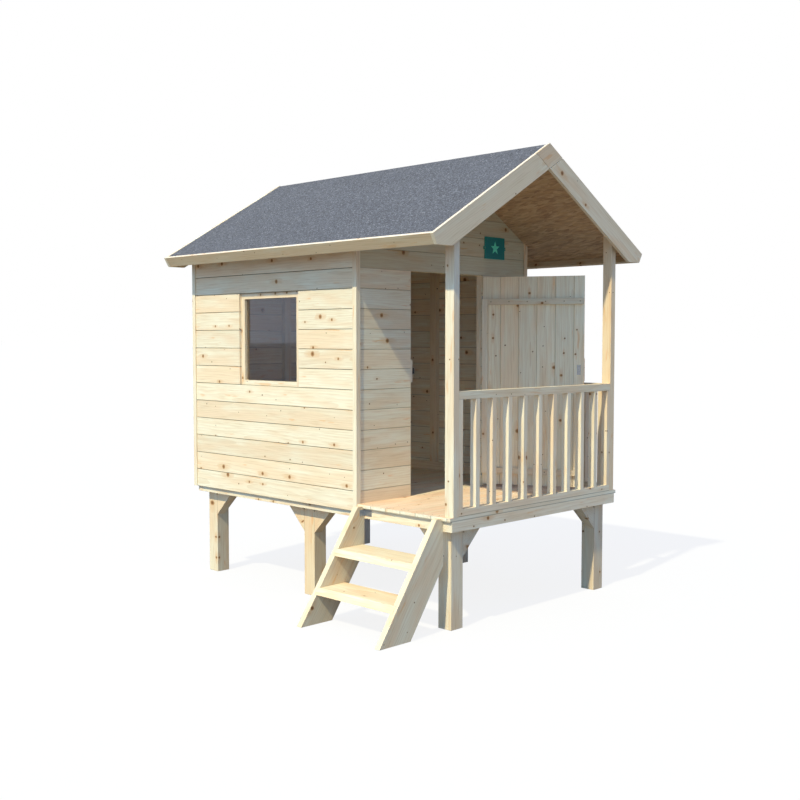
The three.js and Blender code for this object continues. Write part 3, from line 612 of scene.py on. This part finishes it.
def walled(name, depth, inward, dark):
    """Grain of a wall panel, given the axis through it, the way inwards along that axis, and how dark its
    joints are. Boards lie level in front of the cladding's depth, and beside the window the boards of its
    two sides differ. Behind the boards battens stand, but near the foot and the head they lie level."""
    low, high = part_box(name)
    outer = (low if inward > 0 else high)[depth]
    datum = low.z if name.endswith("gable") else cladding_foot
    post_low, post_high = max(low.z, deck_top) + LEVEL_BATTEN, high.z - LEVEL_BATTEN

    def lay(tree):
        axes = own_axes(tree)
        level_run, height = axes[1 - depth], axes[2]
        number, level, joint = counted(tree, sums(tree, "SUBTRACT", height, datum), dark)
        if name == "wall_left":
            past = sums(tree, "GREATER_THAN", axes[1], window_middle)
            past = sums(tree, "MULTIPLY", between(tree, height, window_low.z, window_high.z), past)
            number = sums(tree, "MULTIPLY_ADD", past, SECOND_SIDE, number)
        inside = sums(tree, "MULTIPLY", sums(tree, "SUBTRACT", axes[depth], outer), inward)
        behind = sums(tree, "GREATER_THAN", inside, CLADDING)
        upright = sums(tree, "MULTIPLY", behind, between(tree, height, post_low, post_high))
        grain = either(tree, upright, level_run, height)
        side = either(tree, upright, level, level_run)
        mark = either(tree, behind, number, BATTEN_NUMBER)
        return grain, side, inside, mark, sums(tree, "MULTIPLY", joint, sums(tree, "SUBTRACT", 1.0, behind))

    return lay


# The third number of each panel is the strength of the painted shade in its board joints, strongest on the
# sunlit left wall.
WALL_PANELS = {
    "wall_left": (0, 1, 0.85, UNTINTED),
    "wall_right": (0, -1, 0.5, UNTINTED),
    "wall_rear": (1, -1, 0.5, UNTINTED),
    "wall_front_left": (1, 1, 0.42, FRONT_WALL_LIGHT_TINT),
    "wall_front_right": (1, 1, 0.42, FRONT_WALL_LIGHT_TINT),
    "wall_front_gable": (1, 1, 0.3, GABLE_CAST),
}
for count, (name, (depth, inward, joint_dark, cast)) in enumerate(WALL_PANELS.items()):
    lay = walled(name, depth, inward, joint_dark)
    dress(name, softwood(name, WALL_SEED + WALL_SEED_STEP * count, lay, cast, inner=INNER_PAINTED_LIGHT))

# Corner trims: planed softwood strips, joined to an L. They are nailed over the ends of the boards at the
# four corners of the cabin.
TRIM_SEED = 300
TRIM_EASE = 0.0006
for seed, name in enumerate(named("corner_trim"), TRIM_SEED):
    dress(name, softwood(name, seed, timber(2, 0, middle_of(name))), TRIM_EASE)

# Window: a sash of four planed softwood bars behind the cladding, with its upright bars running through. A
# clear plastic sheet sits in a groove in them.
SASH_SEED = 326
SASH_BAR = 0.028
SASH_EASE = 0.0008
PANE_CLEAR = (236, 231, 228)
PANE_SMEAR = (242, 238, 234)
PANE_GLEAM = (0.4, 0.62, 1.0, 1.0)
PANE_INDEX = 1.6
SMEAR_SCALE = 5.0
SMEAR_SQUEEZE = 3.0
SMEAR_RANGE = (0.45, 0.8)
PANE_ROUGH = (0.02, 0.09)


def sash_grain(name):
    """Grain up the side bars, and level in the sill and head between them, with a number for each bar."""
    low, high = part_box(name)

    def lay(tree):
        x, y, z = own_axes(tree, middle_of(name))
        half = (high.y - low.y) / 2 - SASH_BAR
        side = sums(tree, "GREATER_THAN", sums(tree, "ABSOLUTE", y), half)
        second = sums(tree, "GREATER_THAN", sums(tree, "ADD", y, z), 0.0)
        number = sums(tree, "ADD", side, sums(tree, "MULTIPLY", second, 2.0))
        return either(tree, side, y, z), either(tree, side, z, y), x, number

    return lay


def clear_sheet():
    """A clear plastic sheet with faint smears that dull its gloss."""
    material, tree = start_finish("window_pane")
    x, y, z = own_axes(tree)
    spot = joined(tree, x, sums(tree, "MULTIPLY", y, SMEAR_SQUEEZE), z)
    smear = noise(tree, spot, SMEAR_SCALE, 4.0, 0.6)
    colour = tinted(tree, smear, tone(*PANE_CLEAR), tone(*PANE_SMEAR))
    shader = surface(tree, colour, spread(tree, smear, *SMEAR_RANGE, *PANE_ROUGH))
    shader.inputs["Transmission Weight"].default_value = 1.0
    shader.inputs["Specular Tint"].default_value = PANE_GLEAM
    shader.inputs["IOR"].default_value = PANE_INDEX
    return material


dress("window_frame", softwood("window_frame", SASH_SEED, sash_grain("window_frame")), SASH_EASE)
dress("window_pane", clear_sheet())

# Door: upright tongued boards of planed softwood, screwed to two ledges and a hinge-side batten. It hangs
# open, so its grain is drawn along the axes of the leaf, which turn about the hinge pins.
DOOR_SEED = 340
DOOR_TIMBER_SEED = 351
DOOR_OPEN = math.radians(117)
DOOR_HINGE_EDGE = 0.003
# Painted shade in the grooves between the door's boards, faint as the door stands in shade.
DOOR_JOINT_DARK = 0.25
# Painted light: the door leaf, in the veranda's shade, is tinted paler than its wood.
DOOR_LIGHT_TINT = (264, 264, 260)
LEDGE_CAST = (244, 248, 249)
LEDGE_FACE = 0.0323
DOOR_BOARD_COUNT = 6
LAST_SCREW_RUN = 0.485
hinge = frame["joints"][0]["pos_m"]
door_place = (hinge[0], hinge[1], 0)
door_turn = (0, 0, DOOR_OPEN)


def door_boards(tree):
    """Upright boards counted from the leaf's hinge edge, so that the narrow one is at its free edge."""
    x, y, z = own_axes(tree, door_place, door_turn)
    number, side, joint = counted(tree, sums(tree, "ADD", x, DOOR_HINGE_EDGE), DOOR_JOINT_DARK)
    return z, side, y, number, joint


DOOR_TIMBERS = {
    "door_top_ledge": (0, 2, LEDGE_CAST),
    "door_bottom_ledge": (0, 2, UNTINTED),
    "door_hinge_batten": (2, 0, UNTINTED),
    "door_handle": (2, 0, UNTINTED),
}
dress("door_leaf", softwood("door_leaf", DOOR_SEED, door_boards, DOOR_LIGHT_TINT))
for seed, (name, (along, across, cast)) in enumerate(DOOR_TIMBERS.items(), DOOR_TIMBER_SEED):
    lay = timber(along, across, door_place, door_turn)
    dress(name, softwood(name, seed, lay, cast), TIMBER_EASE)


def on_door(run, out, height):
    """A place on the leaf: a run from the hinge pins towards the free edge, and a way out to the inside."""
    across = np.array([-math.cos(DOOR_OPEN), -math.sin(DOOR_OPEN)]) * run
    inside = np.array([-math.sin(DOOR_OPEN), math.cos(DOOR_OPEN)]) * out
    return (hinge[0] + across[0] + inside[0], hinge[1] + across[1] + inside[1], height)


screw_runs = DOOR_HINGE_EDGE + (np.arange(DOOR_BOARD_COUNT) + 0.5) * BOARD_PITCH
screw_runs = np.minimum(screw_runs, LAST_SCREW_RUN)
ledge_heights = [middle_of(name)[2] for name in ("door_top_ledge", "door_bottom_ledge")]
ledge_screws = [on_door(run, LEDGE_FACE, height) for height in ledge_heights for run in screw_runs]
heads("door_ledge_screws", ledge_screws, np.subtract(on_door(0, 1, 0), on_door(0, 0, 0)), "door")

# Catch and hinges: zinc-plated steel hinge leaves and strike plate, screwed on. A planed wood block on the
# free jamb stops the door and carries a magnet in a black plastic case. Both reach further out than the
# CAD's pieces.
CATCH_SEED = 360
CATCH_EASE = 0.0008
STOP_WIDTH = 0.032
CASE_WIDTH = 0.007
PLASTIC_BLACK = (26, 26, 28)
PLASTIC_GREY = (44, 44, 46)
PLASTIC_GRAIN = 900.0
PLASTIC_ROUGH = 0.4
GRIT_ROUGH = 0.2
PLASTIC_BUMP = (0.3, 0.0002)
for name in [*named("hinge_"), "door_strike_plate"]:
    dress(name, zinc)


def black_plastic_finish():
    """Moulded black plastic with a fine grained surface."""
    material, tree = start_finish("black_plastic")
    grit = noise(tree, place_on_piece(tree), PLASTIC_GRAIN, 2.0)
    colour = tinted(tree, grit, tone(*PLASTIC_BLACK), tone(*PLASTIC_GREY))
    surface(tree, colour, sums(tree, "MULTIPLY_ADD", grit, GRIT_ROUGH, PLASTIC_ROUGH), PLASTIC_BUMP, grit)
    return material


def squared_block(name, stands_for, start, width, material):
    """A block in a CAD piece's place, as deep and as high, but with a start and a width of its own along x.
    Its corners are its low corner plus every sum of its three sides."""
    low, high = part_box(stands_for)
    shares = np.stack(np.meshgrid([0, 1], [0, 1], [0, 1], indexing="ij"), -1).reshape(-1, 3)
    points = np.array((start, low.y, low.z)) + shares * (width, high.y - low.y, high.z - low.z)
    faces = [(0, 1, 3, 2), (4, 6, 7, 5), (0, 4, 5, 1), (2, 3, 7, 6), (0, 2, 6, 4), (1, 5, 7, 3)]
    piece = placed(name, points, faces, material, "house")
    ease_edges(piece, CATCH_EASE)
    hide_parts(stands_for)


stop_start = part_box("catch_block")[0].x
stop_wood = softwood("catch_stop", CATCH_SEED, timber(2, 0, middle_of("catch_block")))
squared_block("catch_stop", "catch_block", stop_start, STOP_WIDTH, stop_wood)
case_start = stop_start + STOP_WIDTH
squared_block("magnet_case", "catch_magnet", case_start, CASE_WIDTH, black_plastic_finish())

# Veranda posts and railing: two planed softwood posts, screwed to the floor frame and under the roof.
# Square balusters stand on a bottom rail, and a top rail lies over them.
POST_SEED = 380
TOP_RAIL_SEED = 382
BALUSTER_SEED = 400
BALUSTER_SEED_STEP = 20
# Painted shade: the top rails are tinted a little darker than their wood.
RAIL_CAST = (242, 244, 243)
RIGHT_POST_CAST = (255, 244, 232)
BOTTOM_RAIL = 0.0302
BALUSTER_SPACING = 0.105
BEFORE_FIRST = BALUSTER_SPACING * 0.38


def baluster_grain(name, along):
    """Grain up the balusters, and level in the bottom rail below them, with a number for each baluster, and
    a painted shade line where the rail stands on the deck.
    """
    low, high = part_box(name)

    def lay(tree):
        axes = own_axes(tree)
        run, height = axes[along], axes[2]
        upright = sums(tree, "GREATER_THAN", height, low.z + BOTTOM_RAIL)
        from_first = sums(tree, "SUBTRACT", run, low[along] - BEFORE_FIRST)
        number = sums(tree, "FLOOR", sums(tree, "DIVIDE", from_first, BALUSTER_SPACING))
        mark = sums(tree, "MULTIPLY", upright, sums(tree, "ADD", number, 1.0))
        grain = either(tree, upright, run, height)
        side = either(tree, upright, height, run)
        return grain, side, axes[1 - along], mark, painted_contact_shade(tree, height, low.z)

    return lay


dress_timber("veranda_post_left", POST_SEED)
dress_timber("veranda_post_right", POST_SEED + 1, RIGHT_POST_CAST)
for seed, name in enumerate(("front_top_rail", "side_top_rail"), TOP_RAIL_SEED):
    dress_timber(name, seed, RAIL_CAST)
for along, name in enumerate(("front_balusters", "side_balusters")):
    dress(name, softwood(name, BALUSTER_SEED + BALUSTER_SEED_STEP * along, baluster_grain(name, along)))

# Ladder: two slanting sides of planed softwood board, with two treads let into grooves in them and glued,
# flush at the front. The head of each side is held to the floor frame by a small bent zinc bracket.
STRINGER_SEED = 440
TREAD_SEED = 450
LADDER_EASE = 0.0012
STAIR_SLOPE = math.radians(55.4)
# Painted shade: the ladder's sides and treads are tinted a little darker than their wood.
STRINGER_CAST = (249, 249, 246)
TREAD_CAST = (253, 251, 247)
BRACKET_LEG = 0.046
BRACKET_SHORT_LEG = 0.03
BRACKET_HEIGHT = 0.027
BRACKET_RISE = 0.013
BRACKET_SHEET = 0.0018
BRACKET_BEND = 0.003
BRACKET_BEND_POINTS = 6
BRACKET_CLEARANCE = 0.0002
for seed, name in enumerate(named("step_stringer"), STRINGER_SEED):
    lay = timber(0, 2, middle_of(name), (0, -STAIR_SLOPE, 0))
    dress(name, softwood(name, seed, lay, STRINGER_CAST), LADDER_EASE)
for seed, name in enumerate(named("step_tread"), TREAD_SEED):
    dress_timber(name, seed, TREAD_CAST, LADDER_EASE)


def bent_bracket(name, corner, towards, foot):
    """An angle bracket: an L-shaped line with a round bend, set off by the sheet's thickness to its other
    side and carried straight up. Its legs lie on a stringer's side and on the beam's face."""
    bend = np.linspace(0, math.pi / 2, BRACKET_BEND_POINTS)
    lines = []
    for inset in (0.0, BRACKET_SHEET):
        arc = BRACKET_BEND - (BRACKET_BEND - inset) * np.column_stack([np.sin(bend), np.cos(bend)])
        lines.append(np.vstack([(BRACKET_SHORT_LEG, inset), arc, (inset, BRACKET_LEG)]))
    line = np.vstack([lines[0], lines[1][::-1]])
    flat = np.column_stack([corner[0] - line[:, 0], corner[1] + towards * line[:, 1]])
    count = len(line)
    points = np.vstack([np.column_stack([flat, np.full(count, z)]) for z in (foot, foot + BRACKET_HEIGHT)])
    faces = [[i, (i + 1) % count, count + (i + 1) % count, count + i] for i in range(count)]
    for i in range(count // 2 - 1):
        strip = [i, i + 1, count - 2 - i, count - 1 - i]
        faces += [strip[::-1], [count + end for end in strip]]
    if towards < 0:
        faces = [face[::-1] for face in faces]
    return placed(name, points, faces, zinc, "house")


side_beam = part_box("floor_beam_left")[0]
for end, towards in (("front", 1), ("rear", -1)):
    low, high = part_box(f"step_stringer_{end}")
    side_y = (high if towards > 0 else low).y + towards * BRACKET_CLEARANCE
    corner = (side_beam.x - BRACKET_CLEARANCE, side_y)
    bent_bracket(f"ladder_bracket_{end}", corner, towards, side_beam.z + BRACKET_RISE)

# Roof: two pressed strand boards, nailed to the gables and side walls, under one sheet of mineral felt bent
# over the ridge. Planed softwood fascias, bargeboards and apex blocks are nailed along their edges.
ROOF_TRIM_SEED = 500
ROOF_SLOPE = math.radians(30.5)
STRAND_BASE = (194, 157, 112)
STRAND_PALE = (224, 190, 146)
STRAND_DARK = (138, 102, 70)
STRAND_TURNS = (-0.25, 0.05, 0.3)
STRAND_RATE = (19.0, 115.0)
STRAND_SHARE = 0.5
STRAND_BUMP = (0.4, 0.0006)
STRAND_ROUGH = 0.68
STRAND_FIBRE = (420.0, 50.0)
STRAND_FIBRE_SHARE = 0.3
STRAND_FIBRE_ROUGH = 0.2
FELT_DARK = (58, 60, 68)
FELT_GREY = (91, 93, 103)
FELT_GRIT = (140, 142, 150)
GRIT_SCALE = 190.0
CLUMP_SCALE = 110.0
CLUMP_SHARE = 0.6
CLUMP_HEIGHT = 0.5
BLOTCH_SCALE = 6.0
BLOTCH_SHARE = 0.2
FELT_RANGE = (0.25, 0.95)
BRIGHT_FREE_SHARE = 0.84
BRIGHT_RANGE = (0.4, 0.6)
BRIGHT_SHARE = 0.7
FELT_BUMP = (0.5, 0.0012)
FELT_ROUGH = 0.8
FELT_ROUGH_SPAN = 0.15
FASCIA_CAST = (228, 222, 211)
LEFT_BARGE_CAST = (243, 249, 252)
RIGHT_BARGE_CAST = (240, 236, 232)
# Painted highlight: the up-facing top edges of the fascias, bargeboards and apex blocks are tinted paler and
# cooler.
TOP_EDGE_HIGHLIGHT = (256, 263, 284)


def strand_board(name, slope):
    """Pressed strands: three layers of long cells that lie along the ridge, each layer turned a little, and
    each cell a strand with its own brown, with fine fibre over all."""
    material, tree = start_finish(name)
    x, y, z = own_axes(tree, (0, 0, 0), (0, slope, 0))
    colour = tone(*STRAND_BASE)
    height = 0.0
    for layer, turn in enumerate(STRAND_TURNS):
        along = sums(tree, "MULTIPLY_ADD", y, math.cos(turn), sums(tree, "MULTIPLY", x, math.sin(turn)))
        across = sums(tree, "MULTIPLY_ADD", x, math.cos(turn), sums(tree, "MULTIPLY", y, -math.sin(turn)))
        slow = sums(tree, "MULTIPLY", along, STRAND_RATE[0])
        quick = sums(tree, "MULTIPLY", across, STRAND_RATE[1])
        cells = wire(tree, "TexVoronoi", {"Vector": joined(tree, slow, quick, float(layer)), "Scale": 1.0})
        lot = parts(tree, cells.outputs["Color"])
        strand = tinted(tree, lot[0], tone(*STRAND_PALE), tone(*STRAND_DARK))
        shown = sums(tree, "GREATER_THAN", lot[1], 0.5)
        colour = tinted(tree, sums(tree, "MULTIPLY", shown, STRAND_SHARE), colour, strand)
        height = sums(tree, "ADD", height, sums(tree, "MULTIPLY", shown, lot[2]))
    spot = joined(tree, *[sums(tree, "MULTIPLY", part, pace) for part, pace in zip((x, y), STRAND_FIBRE)])
    fibre = noise(tree, spot)
    colour = stained(tree, colour, STRAND_DARK, fibre, STRAND_FIBRE_SHARE)
    rough = sums(tree, "MULTIPLY_ADD", fibre, STRAND_FIBRE_ROUGH, STRAND_ROUGH)
    surface(tree, colour, rough, STRAND_BUMP, height)
    return material


def mineral_felt():
    """Bitumen felt under stone granules: rough cells of grit in three greys, over slow blotches."""
    material, tree = start_finish("roof_felt")
    spot = place_on_piece(tree)
    grains = wire(tree, "TexVoronoi", {"Vector": spot, "Scale": GRIT_SCALE}).outputs
    lot = parts(tree, grains["Color"])
    clumps = noise(tree, spot, CLUMP_SCALE, 3.0, 0.8)
    blotch = noise(tree, spot, BLOTCH_SCALE, 3.0)
    share = sums(tree, "MULTIPLY", sums(tree, "ADD", lot[0], clumps), CLUMP_SHARE)
    share = sums(tree, "ADD", share, swing(tree, blotch, BLOTCH_SHARE))
    colour = tinted(tree, spread(tree, share, *FELT_RANGE), tone(*FELT_DARK), tone(*FELT_GREY))
    bright = sums(tree, "GREATER_THAN", lot[1], BRIGHT_FREE_SHARE)
    bright = sums(tree, "MULTIPLY", bright, spread(tree, clumps, *BRIGHT_RANGE))
    colour = stained(tree, colour, FELT_GRIT, bright, BRIGHT_SHARE)
    height = sums(tree, "SUBTRACT", sums(tree, "MULTIPLY", clumps, CLUMP_HEIGHT), grains["Distance"])
    surface(tree, colour, sums(tree, "MULTIPLY_ADD", lot[2], FELT_ROUGH_SPAN, FELT_ROUGH), FELT_BUMP, height)
    return material


dress("roof_panel_left", strand_board("roof_panel_left", -ROOF_SLOPE))
dress("roof_panel_right", strand_board("roof_panel_right", ROOF_SLOPE))
dress("roof_felt", mineral_felt())
for seed, name in enumerate(named("eave_fascia", "bargeboard", "apex_block"), ROOF_TRIM_SEED):
    on_left = name.endswith("left")
    slope = -ROOF_SLOPE if on_left or name.startswith("apex_block") else ROOF_SLOPE
    along, cast = 0, LEFT_BARGE_CAST if on_left else RIGHT_BARGE_CAST
    if name.startswith("eave_fascia"):
        along, cast = 1, FASCIA_CAST
    lay = timber(along, 2, middle_of(name), (0, slope, 0))
    dress(name, softwood(name, seed, lay, cast, TOP_EDGE_HIGHLIGHT), TIMBER_EASE)

# Sign: a dark green painted plate with a plain raised star in pale green. A screw through the tab at each
# of its sides holds it to the gable.
SIGN_GREEN = (10, 119, 117)
SIGN_EDGE = (36, 140, 128)
STAR_PALE = (92, 222, 178)
STAR_BRIGHT = (118, 236, 198)
SIGN_TAB = 0.008
SIGN_EDGE_LINE = 0.003
SIGN_WEAR = 0.18
WEAR_ROUGH = 0.2
SIGN_ROUGH = 0.32
STAR_ROUGH = 0.35
PEEL_SCALE = 260.0
WEAR_SCALE = 30.0
STAR_PAINT_SCALE = 120.0
SIGN_BUMP = (0.15, 0.0003)
STAR_CORNERS = 10
STAR_RADIUS = 0.034
STAR_INNER_RADIUS = STAR_RADIUS * 0.42
STAR_HEIGHT = 0.0012
STAR_CLEARANCE = 0.0001
TAB_SCREW_INSET = 0.0045
TAB_SCREW_RADIUS = 0.0028
sign_low, sign_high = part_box("sign_plate")
sign_middle = (sign_low + sign_high) / 2


def sign_paint():
    """Painted plate with a thin paler line along its edge and a faint orange peel."""
    material, tree = start_finish("sign_enamel")
    x, y, z = own_axes(tree, tuple(sign_middle))
    half_wide = (sign_high.x - sign_low.x) / 2 - SIGN_TAB - SIGN_EDGE_LINE
    half_high = (sign_high.z - sign_low.z) / 2 - SIGN_EDGE_LINE
    near_side = sums(tree, "GREATER_THAN", sums(tree, "ABSOLUTE", x), half_wide)
    near_end = sums(tree, "GREATER_THAN", sums(tree, "ABSOLUTE", z), half_high)
    edge = sums(tree, "MAXIMUM", near_side, near_end)
    peel = noise(tree, place_on_piece(tree), PEEL_SCALE, 2.0)
    worn = noise(tree, place_on_piece(tree), WEAR_SCALE, 4.0)
    colour = tinted(tree, edge, tone(*SIGN_GREEN), tone(*SIGN_EDGE))
    colour = stained(tree, colour, SIGN_EDGE, worn, SIGN_WEAR)
    surface(tree, colour, sums(tree, "MULTIPLY_ADD", worn, WEAR_ROUGH, SIGN_ROUGH), SIGN_BUMP, peel)
    return material


def star_paint():
    """Pale green paint, a little uneven."""
    material, tree = start_finish("star_paint")
    uneven = noise(tree, place_on_piece(tree), STAR_PAINT_SCALE, 3.0)
    colour = tinted(tree, uneven, tone(*STAR_PALE), tone(*STAR_BRIGHT))
    surface(tree, colour, sums(tree, "MULTIPLY_ADD", uneven, WEAR_ROUGH, STAR_ROUGH))
    return material


def raised_star():
    """A five-pointed star: ten corners whose distance from the middle alternates, carried out from the
    plate, with its front face rising to a low point in the middle."""
    count = STAR_CORNERS
    turns = np.arange(count) * 2 * math.pi / count
    reach = np.where(np.arange(count) % 2 == 0, STAR_RADIUS, STAR_INNER_RADIUS)
    x, z = sign_middle.x + reach * np.sin(turns), sign_middle.z + reach * np.cos(turns)
    back_y = sign_low.y - STAR_CLEARANCE
    back = np.column_stack([x, np.full(count, back_y), z])
    front = back - (0, STAR_HEIGHT, 0)
    peak = [(sign_middle.x, sign_low.y - 2 * STAR_HEIGHT, sign_middle.z)]
    heart = [(sign_middle.x, back_y, sign_middle.z)]
    points = np.vstack([back, front, peak, heart])
    pairs = [(i, (i + 1) % count) for i in range(count)]
    faces = [(i, after, count + after, count + i) for i, after in pairs]
    faces += [(count + i, count + after, 2 * count) for i, after in pairs]
    faces += [(after, i, 2 * count + 1) for i, after in pairs]
    return placed("sign_star", points, faces, star_paint(), "house")


dress("sign_plate", sign_paint())
raised_star()
tab_lines = (sign_low.x + TAB_SCREW_INSET, sign_high.x - TAB_SCREW_INSET)
tab_screws = [(x, sign_low.y, sign_middle.z) for x in tab_lines]
heads("sign_screws", tab_screws, (0, -1, 0), "house", TAB_SCREW_RADIUS)

# Studio: a white floor that keeps a pale shadow, a white surround for camera, gloss and glass, a soft sun
# from the left and above as in the photograph, and cool light from all round.
CAMERA_PLACE = (-3.7282, -3.8126, 1.2115)
CAMERA_YAW = math.radians(45.287)
CAMERA_PITCH = math.radians(3.232)
CAMERA_LENS = 48.363
CAMERA_SENSOR = 36.0
CAMERA_REACH = 1000.0
SUN_TRAVEL = (1.0, 0.19, -1.2)
SUN_STRENGTH = 4.05
SUN_TINT = (1.0, 0.945, 0.685)
SUN_WIDTH = math.radians(1.6)
SKY_BASE = (0.238, 0.36, 0.71, 1.0)
SKY_LEFT = (0.6, 1.04, 1.66, 1.0)
WHITE = (1.0, 1.0, 1.0, 1.0)
FLOOR_GREY = (0.26, 0.25, 0.24, 1.0)
FLOOR_GLOW = 1.44
FLOOR_GLOW_SHARE = 0.6
FLOOR_HALF = 250.0
FLOOR_DROP = 0.0008

world = bpy.data.worlds.new("surround")
bpy.context.scene.world = world
world.use_nodes = True
tree = world.node_tree
rays = wire(tree, "LightPath").outputs
mirrored = sums(tree, "MAXIMUM", rays["Is Glossy Ray"], rays["Is Transmission Ray"])
seen = sums(tree, "MAXIMUM", rays["Is Camera Ray"], mirrored)
rightward = parts(tree, wire(tree, "TexCoord").outputs["Generated"])[0]
leftward = sums(tree, "MAXIMUM", sums(tree, "MULTIPLY", rightward, -1.0), 0.0)
sky = wire(tree, "Background", {"Color": tinted(tree, leftward, SKY_BASE, SKY_LEFT)}).outputs[0]
white = wire(tree, "Background", {"Color": WHITE, "Strength": 1.0}).outputs[0]
both = wire(tree, "MixShader", {0: seen, 1: sky, 2: white}).outputs[0]
tree.links.new(both, tree.nodes["World Output"].inputs["Surface"])

sides = ((-1, -1), (1, -1), (1, 1), (-1, 1))
corners = [(x * FLOOR_HALF, y * FLOOR_HALF, -FLOOR_DROP) for x, y in sides]
ground = bpy.data.meshes.new("floor")
ground.from_pydata(corners, [], [(0, 1, 2, 3)])
floor = bpy.data.objects.new("floor", ground)
bpy.context.scene.collection.objects.link(floor)
paper, tree = start_finish("white_floor")
lit = wire(tree, "BsdfDiffuse", {"Color": FLOOR_GREY}).outputs[0]
glow = wire(tree, "Emission", {"Color": WHITE, "Strength": FLOOR_GLOW}).outputs[0]
share = sums(tree, "MULTIPLY", wire(tree, "LightPath").outputs["Is Camera Ray"], FLOOR_GLOW_SHARE)
both = wire(tree, "MixShader", {0: share, 1: lit, 2: glow}).outputs[0]
tree.links.new(both, tree.nodes["Material Output"].inputs["Surface"])
ground.materials.append(paper)

sun = bpy.data.objects.new("sun", bpy.data.lights.new("sun", "SUN"))
sun.data.energy = SUN_STRENGTH
sun.data.color = SUN_TINT
sun.data.angle = SUN_WIDTH
travel = np.array(SUN_TRAVEL) / np.linalg.norm(SUN_TRAVEL)
sun.rotation_euler = (math.acos(-travel[2]), 0, math.atan2(-travel[0], travel[1]))
bpy.context.scene.collection.objects.link(sun)

camera = bpy.data.objects.new("camera", bpy.data.cameras.new("camera"))
camera.data.lens = CAMERA_LENS
camera.data.sensor_width = CAMERA_SENSOR
camera.data.clip_end = CAMERA_REACH
camera.location = CAMERA_PLACE
camera.rotation_euler = (math.pi / 2 - CAMERA_PITCH, 0, -CAMERA_YAW)
bpy.context.scene.collection.objects.link(camera)
bpy.context.scene.camera = camera
bpy.context.scene.view_settings.view_transform = "Standard"
